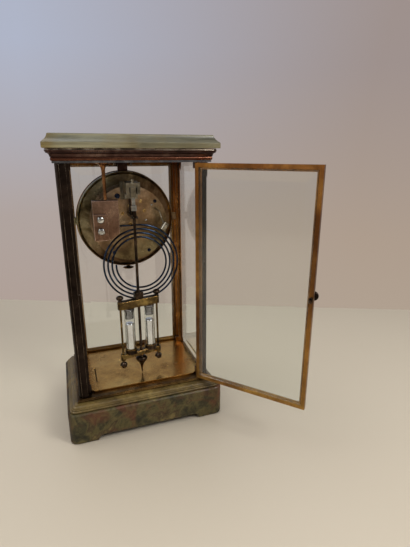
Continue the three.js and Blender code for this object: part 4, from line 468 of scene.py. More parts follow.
# Painted highlight: a bright tone for the softened edges of the gong's block and clamp.
BLOCK_EDGE_HIGHLIGHT = AgedMetal(
    "block_edge_painted_highlight", "block_brass", "#b89480", "#dcb8a2", "#f4dac8", patch=80, roughness=(0.2, 0.34))
STOPPER_STEEL = AgedMetal(
    "stopper_steel_grey", "bright_steel", "#48484b", "#727276", "#a2a2a8", patch=90, roughness=(0.16, 0.3))
FRAME_BRASS = AgedMetal(
    "bottom_frame_brown", "case_brass", "#33261a", "#5f492b", "#927142",
    patch=30, roughness=(0.24, 0.42), grain=Grain.ALONG_X)
POST_COPPER = AgedMetal(
    "post_copper", "block_brass", "#6e4a30", "#a8744a", "#d8a674",
    patch=50, roughness=(0.2, 0.36), grain=Grain.ALONG_Z)
SCREW_BLUE = AgedMetal(
    "screw_blue_dark", "blue_steel", "#14171f", "#262d40", "#414f6e", patch=120, roughness=(0.16, 0.3))
KNOB_BLACK = AgedMetal(
    "knob_black", "dark_steel", "#0d0b0a", "#1d1713", "#3a2f27", patch=90, roughness=(0.22, 0.36))
ENAMEL = Coated("dial_enamel", "enamel", "#f2efe4", "#e6e1d2", roughness=(0.1, 0.18), coat=0.5)
NUMERAL_PAINT = Coated("numeral_black", "enamel", "#17161a", "#0c0b0e", roughness=(0.25, 0.35))
QUICKSILVER = Coated(
    "quicksilver_bright", "quicksilver", "#e6e6e8", "#d2d2d6", metallic=1.0, roughness=(0.03, 0.07))
PANE_GLASS = Glass("pane_glass", "clear_glass")
VIAL_GLASS = Glass("vial_glass", "clear_glass", tint="#f8faf9", film=0.0)


def mesh_from(points: np.ndarray, faces: list[list[int]]) -> Mesh:
    """Makes a mesh from points in millimetres and faces, merges its doubles and turns its faces outwards.

    Args:
        points: an array of n points.
        faces: lists of point numbers.

    Returns:
        The mesh, in metres, shaded smooth.
    """
    mesh = bpy.data.meshes.new("shape")
    mesh.from_pydata((points * MM).tolist(), [], faces)
    shell = bmesh.new()
    shell.from_mesh(mesh)
    bmesh.ops.remove_doubles(shell, verts=shell.verts, dist=DOUBLE_REACH)
    bmesh.ops.recalc_face_normals(shell, faces=shell.faces)
    shell.to_mesh(mesh)
    shell.free()
    mesh.polygons.foreach_set("use_smooth", np.ones(len(mesh.polygons), bool))
    mesh.update()
    return mesh


def ring_faces(rings: int, count: int, closed: bool = False, ends: bool = False) -> list[list[int]]:
    """Four-sided faces between rings of points that are numbered ring by ring.

    Args:
        rings: how many rings.
        count: how many points in a ring.
        closed: whether the last ring joins the first.
        ends: whether the first and the last ring get a face each.

    Returns:
        A list of faces, as lists of point numbers.
    """
    ring, point = np.meshgrid(np.arange(rings if closed else rings - 1), np.arange(count), indexing="ij")
    up, right = (ring + 1) % rings, (point + 1) % count
    corners = [ring * count + point, ring * count + right, up * count + right, up * count + point]
    faces = np.stack(corners, axis=-1).reshape(-1, 4).tolist()
    if ends:
        faces += [list(range(count)), list(range((rings - 1) * count, rings * count))]
    return faces


def softened(profile: Points, radius: float, steps: int = 4, ring: bool = False) -> np.ndarray:
    """Rounds the corners of a profile.

    Each corner P between A and B becomes the curve (1-t)^2 a + 2 t (1-t) P + t^2 b, where a and b lie on the
    two sides, a radius or at most 0.45 of the side away from P.

    Args:
        profile: the profile's points.
        radius: how far from a corner its rounding starts.
        steps: how many points each corner gets.
        ring: whether the profile closes on itself.

    Returns:
        The points of the rounded profile.
    """
    points = np.array(profile, float)

    def towards(other: np.ndarray) -> np.ndarray:
        side = other - points
        length = np.maximum(np.linalg.norm(side, axis=1, keepdims=True), 1e-9)
        return (points + side * np.minimum(radius / length, 0.45))[:, None]

    before, after = towards(np.roll(points, 1, axis=0)), towards(np.roll(points, -1, axis=0))
    t = np.linspace(0, 1, steps)[None, :, None]
    curve = (1 - t) ** 2 * before + 2 * t * (1 - t) * points[:, None] + t ** 2 * after
    if not ring:
        curve[0] = points[0]
        curve[-1] = points[-1]
    return curve.reshape(-1, 2)


def flowing(profile: Points, steps: int = 6, least: float = 0.0) -> np.ndarray:
    """A smooth curve through a profile's points: between P1 and P2 it is the Catmull-Rom cubic of P0 to P3.

    Args:
        profile: the profile's points.
        steps: how many points each stretch gets.
        least: the lowest first coordinate that the curve may reach, which is the axis on a turned piece.

    Returns:
        The points of the curve.
    """
    points = np.array(profile, float)
    ends = np.vstack([2 * points[0] - points[1], points, 2 * points[-1] - points[-2]])
    p0, p1, p2, p3 = (ends[i:len(ends) - 3 + i, None] for i in range(4))
    t = np.linspace(0, 1, steps, endpoint=False)[None, :, None]
    curve = 0.5 * (2 * p1 + (p2 - p0) * t + (2 * p0 - 5 * p1 + 4 * p2 - p3) * t ** 2
                   + (3 * p1 - p0 - 3 * p2 + p3) * t ** 3)
    flat = np.vstack([curve.reshape(-1, 2), points[-1:]])
    flat[:, 0] = np.maximum(flat[:, 0], least)
    return flat


def arc(centre: Sequence[float], radii: Sequence[float], start: float, end: float, steps: int) -> np.ndarray:
    """Points centre + (radii[0] cos a, radii[1] sin a), with a going from start to end in degrees."""
    turn = np.radians(np.linspace(start, end, steps))
    return np.column_stack([centre[0] + radii[0] * np.cos(turn), centre[1] + radii[1] * np.sin(turn)])


def rectangle(x0: float, x1: float, y0: float, y1: float) -> np.ndarray:
    """The four corners of a rectangle, anticlockwise."""
    return np.array([(x0, y0), (x1, y0), (x1, y1), (x0, y1)], float)


def frame_along(axis: Sequence[float]) -> np.ndarray:
    """Three rows of unit vectors, the last along the axis and the others square to it."""
    along = np.array(axis, float) / np.linalg.norm(axis)
    helper = (0.0, 0.0, 1.0) if abs(along[2]) < 0.9 else (1.0, 0.0, 0.0)
    first = np.cross(helper, along)
    first /= np.linalg.norm(first)
    return np.array([first, np.cross(along, first), along])


def turned(profile: Points, centre: Sequence[float], axis: Sequence[float] = Axis.Z.value, segments: int = 64,
           ring: bool = False, lobes: int = 0, lobe_depth: float = 0.0) -> Mesh:
    """A profile turned about an axis.

    The point (r, h) at turn a goes to centre + r cos a U + r sin a V + h W. With lobes, r grows by the share
    lobe_depth cos(lobes a).

    Args:
        profile: points (radius, distance along the axis), from axis to axis or closing on itself.
        centre: where the axis starts.
        axis: the direction W of the axis.
        segments: how many steps round.
        ring: whether the profile closes on itself.
        lobes: how many petals the piece has round its axis.
        lobe_depth: how far they stand out, as a share of the radius.

    Returns:
        The mesh.
    """
    radius, height = np.asarray(profile, float).T[..., None]
    angle = np.linspace(0, 2 * np.pi, segments, endpoint=False)
    u, v, w = frame_along(axis)
    reach = radius * (1 + lobe_depth * np.cos(lobes * angle))
    points = (np.array(centre, float) + (reach * np.cos(angle))[..., None] * u
              + (reach * np.sin(angle))[..., None] * v + height[..., None] * w)
    return mesh_from(points.reshape(-1, 3), ring_faces(len(profile), segments, ring))


def wound(path: np.ndarray, radius: float, normal: Sequence[float], sides: int = 16,
          dome_steps: int = 5) -> Mesh:
    """A round wire along a flat path, closed by domed ends.

    Each ring lies at path + r (cos a S + sin a N), where N is the path's normal and S is square to it and to
    the path. At the two ends r falls to nothing over one wire radius.

    Args:
        path: the wire's centreline.
        radius: the wire's radius.
        normal: the direction square to the path's plane.
        sides: how many sides the wire has.
        dome_steps: how many rings each dome has, with the one that it starts on.

    Returns:
        The mesh.
    """
    rising = np.linspace(0, np.pi / 2, dome_steps)
    dome, taper = radius * np.sin(rising)[:, None], np.cos(rising)[1:]
    start = (path[0] - path[1]) / np.linalg.norm(path[0] - path[1])
    end = (path[-1] - path[-2]) / np.linalg.norm(path[-1] - path[-2])
    size = radius * np.concatenate([taper[::-1], np.ones(len(path)), taper])
    path = np.vstack([path[0] + start * dome[:0:-1], path, path[-1] + end * dome[1:]])
    along = np.gradient(path, axis=0)
    along /= np.linalg.norm(along, axis=1, keepdims=True)
    up = np.array(normal, float)
    side = np.cross(along, up)
    angle = np.linspace(0, 2 * np.pi, sides, endpoint=False)[None, :, None]
    points = path[:, None] + size[:, None, None] * (np.cos(angle) * side[:, None] + np.sin(angle) * up)
    return mesh_from(points.reshape(-1, 3), ring_faces(len(path), sides))


def prism(outline: np.ndarray, low: float, high: float, axis: Axis = Axis.Y, edge: float = 0.1,
          centre: Sequence[float] = (0, 0, 0)) -> Mesh:
    """A flat outline with thickness and softened edges.

    Four rings are stacked from low to high. The first and last are drawn in by the edge along the mean of the
    two side normals, and an end face closes each.

    Args:
        outline: points (across, up), anticlockwise. Up is z for a piece along Y, and y along Z.
        low: where the thickness starts along the axis.
        high: where it ends.
        axis: the direction of the thickness.
        edge: how far the edges are drawn in.
        centre: what is added to every point.

    Returns:
        The mesh.
    """
    side = np.roll(outline, -1, axis=0) - outline
    out = np.column_stack([side[:, 1], -side[:, 0]])
    out /= np.maximum(np.linalg.norm(out, axis=1, keepdims=True), 1e-9)
    corner = out + np.roll(out, 1, axis=0)
    corner /= np.maximum(np.linalg.norm(corner, axis=1, keepdims=True), 0.5)
    inner = outline - corner * edge
    rings = [(inner, low), (outline, low + edge), (outline, high - edge), (inner, high)]
    stacked = np.vstack([np.column_stack([ring, np.full(len(ring), at)]) for ring, at in rings])
    if axis is Axis.Y:
        stacked = stacked[:, (0, 2, 1)]
    return mesh_from(stacked + np.array(centre, float), ring_faces(len(rings), len(outline), ends=True))


def moulding(half: Sequence[float], corner: float, profile: np.ndarray, base: float, steps: int = 10) -> Mesh:
    """A profile swept round a rectangle whose corners are rounded.

    The point (m, h) of the profile goes to (half + m - r) + r (cos a, sin a) at base + h in each quarter,
    where r is the corner's radius plus m, or at least 0.05.

    Args:
        half: half the rectangle's width and depth.
        corner: the radius of its corners.
        profile: points (margin outwards, height).
        base: the height at which the profile starts.
        steps: how many steps each corner takes.

    Returns:
        The mesh, with its arrises marked.
    """
    margin, height = profile[:, 0], profile[:, 1] + base
    radius = np.maximum(corner + margin, 0.05)
    core = np.array(half, float) + (margin - radius)[:, None]
    first = core[:, None] + radius[:, None, None] * arc((0, 0), (1, 1), 0, 90, steps + 1)
    around = [first, first[:, ::-1] * (-1, 1), first * (-1, -1), first[:, ::-1] * (1, -1)]
    flat = np.concatenate(around, axis=1)
    count = flat.shape[1]
    points = np.dstack([flat, np.repeat(height[:, None], count, axis=1)])
    mesh = mesh_from(points.reshape(-1, 3), ring_faces(len(profile), count, ends=True))
    mesh.set_sharp_from_angle(angle=MOULDED_ANGLE)
    return mesh


def joined(parts: Sequence[Mesh]) -> Mesh:
    """One mesh of several, whose own meshes are removed."""
    shell = bmesh.new()
    for part in parts:
        shell.from_mesh(part)
        bpy.data.meshes.remove(part)
    mesh = bpy.data.meshes.new("joined")
    shell.to_mesh(mesh)
    shell.free()
    return mesh


def limits(node: str) -> np.ndarray:
    """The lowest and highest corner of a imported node's box, in millimetres."""
    return np.array(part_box(node)) / MM


def heights(node: str) -> tuple[float, float]:
    """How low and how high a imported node's box reaches, in millimetres."""
    low, high = limits(node)
    return low[2], high[2]


def middle(node: str) -> np.ndarray:
    """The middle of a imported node's box, in millimetres."""
    return limits(node).mean(axis=0)


def plumb(node: str, height: float = 0.0) -> tuple[float, float, float]:
    """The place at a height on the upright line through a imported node's middle."""
    x, y, _ = middle(node)
    return x, y, height


def clock_ways(turn: np.ndarray | float) -> tuple[np.ndarray, np.ndarray]:
    """The outward and the clockwise direction (x, z) at turns counted clockwise from the top."""
    outwards = np.stack([np.sin(turn), np.cos(turn)], axis=-1)
    return outwards, outwards[..., ::-1] * (1, -1)


def add_piece(name: str, mesh: Mesh, finish: Finish, body: str, stands_for: Sequence[str] = (),
              weighted: bool = True) -> Object:
    """Puts a finished mesh into the scene.

    Args:
        name: the piece's name.
        mesh: its mesh, in place.
        finish: its finish.
        body: the body that it rides on.
        stands_for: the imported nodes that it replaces.
        weighted: whether large faces settle the shading at the edges beside them.

    Returns:
        The new object.
    """
    mesh.name = name
    piece = bpy.data.objects.new(name, mesh)
    bpy.context.scene.collection.objects.link(piece)
    mesh.materials.clear()
    mesh.materials.append(finish.material())
    if weighted:
        piece.modifiers.new("weighted", "WEIGHTED_NORMAL").keep_sharp = True
    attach(piece, body)
    if stands_for:
        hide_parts(*stands_for)
    log.info("%s rides on %s", name, body)
    return piece


def stand_in(node: str, way: str, mesh: Mesh, finish: Finish, weighted: bool = True) -> Object:
    """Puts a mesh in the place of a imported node, on its body, under its name and the way it was made."""
    body = frame["nodes"][node]["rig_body"]
    return add_piece(f"{node}_{way}", mesh, finish, body, (node,), weighted)


def painted(piece: Object, other: Finish, choose: Chooser) -> None:
    """Gives some of a piece's faces another finish.

    Args:
        piece: the piece.
        other: the finish of the chosen faces.
        choose: takes the faces' middles, in millimetres, and their normals, and says which are chosen.
    """
    mesh = piece.data
    mesh.materials.append(other.material())
    places, normals = np.empty(len(mesh.polygons) * 3), np.empty(len(mesh.polygons) * 3)
    mesh.polygons.foreach_get("center", places)
    mesh.polygons.foreach_get("normal", normals)
    index = np.empty(len(mesh.polygons), np.int32)
    mesh.polygons.foreach_get("material_index", index)
    index[choose(places.reshape(-1, 3) / MM, normals.reshape(-1, 3))] = len(mesh.materials) - 1
    mesh.polygons.foreach_set("material_index", index)


def dressed(node: str, finish: Finish) -> None:
    """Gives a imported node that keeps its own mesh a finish."""
    piece = frame["nodes"][node]
    piece.data.materials.clear()
    piece.data.materials.append(finish.material())
    log.info("%s keeps its solid", node)


def filed(node: str, finish: Finish, edge: float = 0.2, worn: Finish | None = None,
          choose: Chooser | None = None, other: Finish | None = None) -> None:
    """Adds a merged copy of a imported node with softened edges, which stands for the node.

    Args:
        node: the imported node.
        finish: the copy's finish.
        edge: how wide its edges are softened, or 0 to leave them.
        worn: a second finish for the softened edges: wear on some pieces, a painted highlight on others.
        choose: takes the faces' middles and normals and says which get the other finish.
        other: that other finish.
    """
    source = frame["nodes"][node].data
    corners = np.empty(len(source.vertices) * 3)
    source.vertices.foreach_get("co", corners)
    ids = np.empty(len(source.loops), np.int32)
    source.loops.foreach_get("vertex_index", ids)
    mesh = mesh_from(corners.reshape(-1, 3) / MM, ids.reshape(-1, 3).tolist())
    shell = bmesh.new()
    shell.from_mesh(mesh)
    bmesh.ops.dissolve_limit(shell, angle_limit=FLAT_ANGLE, verts=shell.verts, edges=shell.edges)
    shell.to_mesh(mesh)
    shell.free()
    mesh.polygons.foreach_set("use_smooth", np.ones(len(mesh.polygons), bool))
    mesh.set_sharp_from_angle(angle=SHARP_ANGLE)
    piece = stand_in(node, "filed", mesh, finish, weighted=False)
    if choose is not None and other is not None:
        painted(piece, other, choose)
    if edge > 0:
        bevel = piece.modifiers.new("edges", "BEVEL")
        bevel.width = edge * MM
        bevel.segments = 2
        bevel.limit_method = "ANGLE"
        bevel.angle_limit = SHARP_ANGLE
        bevel.use_clamp_overlap = True
        if worn is not None:
            mesh.materials.append(worn.material())
            bevel.material = len(mesh.materials) - 1
    piece.modifiers.new("weighted", "WEIGHTED_NORMAL").keep_sharp = edge <= 0


def slotted(piece: Object, place: Sequence[float], length: float, width: float, depth: Sequence[float],
            turn: float) -> None:
    """Cuts a screwdriver's slot into a screw that lies along y, and keeps the result as its own mesh.

    Args:
        piece: the screw.
        place: the point that the slot's depth is counted from.
        length: half the slot's length.
        width: half its width.
        depth: where it starts and ends along y.
        turn: how far it is turned about y, in radians.
    """
    cutter = prism(rectangle(-length, length, -width, width), *depth, edge=0.01)
    cutter.transform(Matrix.Rotation(turn, 4, "Y"))
    cutter.transform(Matrix.Translation(Vector(np.array(place) * MM)))
    tool = bpy.data.objects.new("cutter", cutter)
    bpy.context.scene.collection.objects.link(tool)
    cut = piece.modifiers.new("slot", "BOOLEAN")
    cut.object = tool
    cut.solver = "EXACT"
    piece.modifiers.move(len(piece.modifiers) - 1, 0)
    others = [m for m in piece.modifiers if m != cut]
    for modifier in others:
        modifier.show_viewport = False
    seen = piece.evaluated_get(bpy.context.evaluated_depsgraph_get())
    piece.data = bpy.data.meshes.new_from_object(seen)
    piece.modifiers.remove(cut)
    for modifier in others:
        modifier.show_viewport = True
    piece.data.set_sharp_from_angle(angle=SHARP_ANGLE)
    bpy.data.objects.remove(tool)


@dataclass
class CaseWork:
    """The case: stone base and slab, brass frame, columns and cornice, floor and side panes."""

    half_width: float = 67.5
    half_depth: float = 47.5
    column_width: float = 8.6
    moulding_corner: float = 6.0
    moulding_draw: float = 5.0
    moulding_wave: Points = ((-2.75, 3.0), (-2.9, 3.7), (-3.3, 4.5), (-4.1, 5.0), (-4.7, 5.15))
    bead_arc: tuple[float, float, int] = (-70, 115, 12)
    cornice_seat: float = 1.7
    cornice_arc: tuple[float, float, int] = (-80, 80, 10)
    slab_edge: float = 4.6
    slab_draw: float = 5.5
    slab_hollow: Points = ((0.36, 0.22), (0.62, 0.42), (0.82, 0.66), (0.93, 0.93))
    columns: tuple[str, ...] = ("front_left", "front_right", "rear_left", "rear_right")

    def build(self) -> None:
        """Builds and dresses the case."""
        # The plinth's finish paints shade on its end face at +x.
        filed("base_plinth", PLINTH_STONE, edge=0.7)
        self.build_base_moulding()
        filed("base_tie_bolt", DARK_STEEL, edge=0.3)
        filed("bottom_frame", FRAME_BRASS, edge=0.2, worn=GOLD_EDGE)
        filed("floor_plate", FLOOR_BRASS, edge=0.15)
        self.build_cornice()
        self.build_slab()
        # The columns' inward faces get golden-brown with a painted highlight, and their softened edges a worn
        # greyish tone.
        for place in self.columns:
            filed("column_" + place, COLUMN_BRASS, edge=0.3, worn=WORN_EDGE_AND_GLINT,
                  choose=self.faces_inwards, other=INNER_GOLD_AND_HIGHLIGHT)
        for side in ("left", "right"):
            dressed(side + "_glass", PANE_GLASS)

    def build_base_moulding(self) -> None:
        """Builds the stone moulding: two beads with a groove between them, a wave and a fillet."""
        low, high = limits("base_moulding")
        draw = self.moulding_draw
        outer = arc((-0.95, 1.05), (0.95, 0.95), *self.bead_arc)
        inner = arc((-2.15, 2.5), (0.6, 0.6), *self.bead_arc)
        wave = flowing(self.moulding_wave, 5, least=-draw)
        groove, fillet = (-1.45, 1.95), [(-draw, 5.3), (-draw, high[2] - low[2])]
        profile = np.vstack([(-0.9, 0), outer, groove, inner, wave, fillet])
        mesh = moulding(high[:2], self.moulding_corner, profile, low[2])
        stand_in("base_moulding", "cut", mesh, MOULDING_STONE)

    def build_cornice(self) -> None:
        """Builds the cornice: a silvery band of painted reflection, a copper half round, a dark cove and a
        beaded top edge with painted glints.
        """
        low, high = limits("cornice")
        seat = np.array([self.half_width, self.half_depth]) + self.cornice_seat
        rise, out = high[2] - low[2], high[0] - seat[0]
        band = arc((0.3, rise * 0.295), (0.75, rise * 0.115), *self.cornice_arc)
        reach = out - 2.1
        cove = arc((1.3 + reach, rise * 0.46), (-reach, rise * 0.24), 0, 90, 9)
        bead = arc((out - 0.7, rise * 0.87), (0.7, rise * 0.1), *self.cornice_arc)
        profile = np.vstack([
            [(0, 0), (0, rise * 0.15), (0.3, rise * 0.16)], band, (0.9, rise * 0.42), cove,
            (out - 0.8, rise * 0.76), bead, (out - 0.5, rise),
        ])
        piece = stand_in("cornice", "rolled", moulding(seat, 0.3, profile, low[2], steps=3), CASE_BRASS)
        # The silvery band is a painted reflection, and the bright tone on the top edge paints its glints.
        for finish, start, end in (
            (SILVER_REFLECTION_BAND, 0.02, 0.155), (COPPER_BAND, 0.17, 0.42), (WORN_EDGE_AND_GLINT, 0.9, 0.99),
        ):
            bottom, top = low[2] + rise * start, low[2] + rise * end
            painted(piece, finish, lambda places, _: (places[:, 2] > bottom) & (places[:, 2] < top))

    def build_slab(self) -> None:
        """Builds the onyx slab: an upright edge, a bead at its arris and a hollow that runs up to the top,
        with painted shade on the top and the hollow.
        """
        low, high = limits("top_slab")
        rise, edge, draw = high[2] - low[2], self.slab_edge, self.slab_draw
        side = [(-0.5, 0), (-0.12, 0.12), (0, 0.5), (0, edge - 0.5), (-0.15, edge), (-0.55, edge + 0.25)]
        slope = [(-draw * inwards, edge + (rise - edge) * up) for inwards, up in self.slab_hollow]
        hollow = flowing([(-0.75, edge + 0.6), *slope], 5, least=-draw)
        profile = np.vstack([side, hollow, (-draw - 0.1, rise - 0.08), (-draw - 0.5, rise)])
        piece = stand_in("top_slab", "cut", moulding(high[:2], 0.6, profile, low[2], steps=4), SLAB_ONYX)
        # Painted shade on the top and the hollow.
        painted(piece, SLAB_TOP_SHADE, lambda _, normals: normals[:, 2] > 0.3)

    def faces_inwards(self, places: np.ndarray, normals: np.ndarray) -> np.ndarray:
        """Picks a column's faces that look into the case: on its inner sides, and turned to the middle."""
        inner = np.array([self.half_width, self.half_depth]) - self.column_width * 0.6
        looks = -np.sign(places[:, :2]) * normals[:, :2] > 0.5
        deep = np.abs(places[:, :2]) < inner
        return np.any(looks & deep, axis=1)


@dataclass
class Door:
    """A glazed door with its turned knob and the tongue behind it."""

    side: str
    knob_radius: float = 4.4
    knob_length: float = 7.0
    knob_neck: Points = ((2.7, 0.1), (2.2, 0.8), (1.5, 1.7), (2.6, 2.4))
    knob_ball: Points = ((0.92, 0.45), (1.0, 0.66), (0.78, 0.88), (0.3, 0.99), (0.0, 1.0))
    spindle_radius: float = 1.1
    tongue_width: float = 2.8
    tongue_length: float = 4.2
    tongue_chamfer: float = 0.8
    tongue_depth: tuple[float, float] = (-5.5, -4.3)
    face_gap: float = 0.3

    def build(self) -> None:
        """Builds the frame, the pane and the latch."""
        filed(self.side + "_door_frame", DOOR_BRASS, edge=0.3, worn=GOLD_EDGE)
        dressed(self.side + "_door_glass", PANE_GLASS)
        self.build_latch()

    def build_latch(self) -> None:
        """Builds the knob with its spindle, and the tongue, about the latch's own joint."""
        joint = next(j for j in frame["joints"] if j["name"] == self.side + "_latch_turn")
        outwards = -np.array(joint["axis"], float)
        centre = np.array(joint["pos_m"], float) / MM
        gap, thin, inside = self.face_gap, self.spindle_radius, self.tongue_depth[0]
        neck = [(thin, gap), *((r, gap + h) for r, h in self.knob_neck)]
        ball = [(self.knob_radius * r, gap + self.knob_length * h) for r, h in self.knob_ball]
        profile = np.vstack([[(0, inside), (thin, inside)], flowing(neck + ball)])
        knob = turned(profile, centre, outwards, segments=48)
        add_piece(self.side + "_knob", knob, KNOB_BLACK, self.side + "_latch", (self.side + "_door_latch",))
        half, flat = self.tongue_width / 2, self.tongue_width / 2 - self.tongue_chamfer
        end, shoulder = -self.tongue_length, self.tongue_chamfer - self.tongue_length
        foot = [(-half, shoulder), (-flat, end), (flat, end), (half, shoulder)]
        outline = np.vstack([arc((0, 0), (half, half), 0, 180, 9), foot])
        tongue = prism(outline, *self.tongue_depth, edge=0.15)
        turn_to = Vector(Axis.Y.value).rotation_difference(Vector(outwards)).to_matrix().to_4x4()
        tongue.transform(Matrix.Translation(Vector(centre) * MM) @ turn_to)
        add_piece(self.side + "_tongue", tongue, DARK_STEEL, self.side + "_latch")


@dataclass
class DialWork:
    """What shows from the front: bezel, enamel dial with its numerals and minute ring, and the hands."""

    bezel_sight: float = 7.1
    bezel_seat: float = 5.9
    bezel_step: float = 0.6
    bezel_face: Points = (
        (7.1, 1.5), (6.1, 0.7), (5.0, 0.5), (4.4, 0.0), (3.3, 0.0), (3.0, 0.35), (1.4, 0.2), (1.0, 0.0),
        (0.0, 0.8),
    )
    hours: tuple[str, ...] = ("XII", "I", "II", "III", "IIII", "V", "VI", "VII", "VIII", "IX", "X", "XI")
    numeral_radius: float = 34.6
    numeral_height: float = 8.4
    letter_gap: float = 0.03
    thick: float = 1.15
    thin: float = 0.4
    serif: float = 0.35
    track: tuple[float, float] = (42.6, 43.9)
    track_line: float = 0.07
    mark_halves: tuple[float, float] = (0.4, 0.09)
    paint_depth: float = 0.05
    collet: tuple[float, float] = (2.3, 3.5)
    collet_wall: float = 0.45
    collet_front: float = -0.25

    def build(self) -> None:
        """Builds the front of the movement."""
        self.build_bezel()
        filed("dial", ENAMEL, edge=0.1)
        self.build_numerals()
        for hand in ("minute_hand", "hour_hand"):
            filed(hand, GLINTING_BLUE_STEEL, edge=0.1)
        self.build_collets()

    def build_bezel(self) -> None:
        """Builds the bezel's ring: a slope to the sight, a hollow, a bead and a rolled outer edge."""
        low, high = limits("bezel")
        centre = middle("bezel")
        outer = (high[0] - low[0]) / 2
        front, back = low[1] - centre[1], high[1] - centre[1]
        seat, step = outer - self.bezel_seat, back - self.bezel_step
        face = [(outer - inwards, front + behind) for inwards, behind in self.bezel_face]
        rim = [(outer - self.bezel_sight, back), *face, (outer, step), (seat, step), (seat, back)]
        profile = softened(rim, 0.3, ring=True)
        stand_in("bezel", "turned", turned(profile, centre, Axis.Y.value, 128, ring=True), DOOR_BRASS)

    def glyph(self, letter: str) -> tuple[float, list[tuple[float, float, float, float, float]]]:
        """The strokes of a numeral's letter.

        Args:
            letter: I, V or X.

        Returns:
            The letter's width, and strokes (x0, y0, x1, y1, width) for a height of 1.
        """
        thick, thin = self.thick / self.numeral_height, self.thin / self.numeral_height
        return {
            "I": (0.17, [(0.085, 0, 0.085, 1, thick)]),
            "V": (0.46, [(0.08, 1, 0.23, 0, thick), (0.38, 1, 0.23, 0, thin)]),
            "X": (0.46, [(0.08, 1, 0.38, 0, thick), (0.38, 1, 0.08, 0, thin)]),
        }[letter]

    def numeral(self, letters: str, turn: float) -> np.ndarray:
        """Four-cornered strokes of one hour's numeral, with its foot towards the dial's centre.

        Args:
            letters: the numeral.
            turn: its place, in radians clockwise from the top.

        Returns:
            An array of strokes, each of four points (x, z) from the dial's centre.
        """
        strokes, at = [], 0.0
        for letter in letters:
            width, parts = self.glyph(letter)
            strokes += [(at + x0, y0, at + x1, y1, w) for x0, y0, x1, y1, w in parts]
            at += width + self.letter_gap
        span = at - self.letter_gap
        strokes += [(0, y, span, y, self.serif / self.numeral_height) for y in (0.0, 1.0)]
        lines = np.array(strokes)
        a, b, half = lines[:, 0:2], lines[:, 2:4], lines[:, 4:5] / 2
        level = np.isclose(a[:, 1:], b[:, 1:])
        across = np.where(level, [[0.0, 1.0]], [[1.0, 0.0]]) * half
        quads = np.stack([a - across, b - across, b + across, a + across], axis=1)
        quads = (quads - [span / 2, 0.5]) * self.numeral_height
        outwards, sideways = clock_ways(turn)
        return quads[..., :1] * sideways + (quads[..., 1:] + self.numeral_radius) * outwards

    def minute_marks(self) -> np.ndarray:
        """Sixty short bars between the rings of the minute track, every fifth one broad."""
        minute = np.arange(60)
        outwards, sideways = clock_ways(minute * 2 * np.pi / 60)
        across = np.where(minute % 5 == 0, *self.mark_halves)[:, None] * sideways
        near, far = outwards * self.track[0], outwards * self.track[1]
        return np.stack([near - across, near + across, far + across, far - across], axis=1)

    def build_numerals(self) -> None:
        """Builds the painted hours and minutes as thin flat bars that stand on the enamel, and two rings."""
        face = limits("dial")[0][1]
        centre = middle("dial")
        depth, line = self.paint_depth, self.track_line
        quads = [self.numeral(letters, hour * np.pi / 6) for hour, letters in enumerate(self.hours)]
        flat = np.concatenate([*quads, self.minute_marks()])
        points = np.empty((len(flat), 2, 4, 3))
        points[..., 0] = flat[:, None, :, 0] + centre[0]
        points[..., 1] = np.array([face - depth, face + depth])[None, :, None]
        points[..., 2] = flat[:, None, :, 1] + centre[2]
        sides = [[0, 1, 2, 3], [7, 6, 5, 4], [0, 4, 5, 1], [1, 5, 6, 2], [2, 6, 7, 3], [3, 7, 4, 0]]
        faces = (np.arange(len(flat))[:, None, None] * 8 + np.array(sides)).reshape(-1, 4).tolist()
        bars = mesh_from(points.reshape(-1, 3), faces)
        add_piece("dial_numerals", bars, NUMERAL_PAINT, "case", weighted=False)
        place = (centre[0], face, centre[2])
        profiles = [rectangle(radius - line, radius + line, -depth, depth) for radius in self.track]
        rings = [turned(profile, place, Axis.Y.value, 180, ring=True) for profile in profiles]
        add_piece("minute_track", joined(rings), NUMERAL_PAINT, "case", weighted=False)

    def build_collets(self) -> None:
        """Builds the brass rings that line the winding holes."""
        low, high = limits("dial")
        back, front, flange = high[1] - low[1], self.collet_front, -0.01
        inner, outer = self.collet
        tube = inner + self.collet_wall
        profile = softened([(inner, back), (inner, front), (outer, front), (outer, flange), (tube, flange),
                            (tube, back)], 0.15, ring=True)
        for side in ("going", "strike"):
            x, _, z = middle(side + "_barrel")
            mesh = turned(profile, (x, low[1], z), Axis.Y.value, 48, ring=True)
            add_piece(f"winding_collet_{side}", mesh, WHEEL_BRASS, "case")


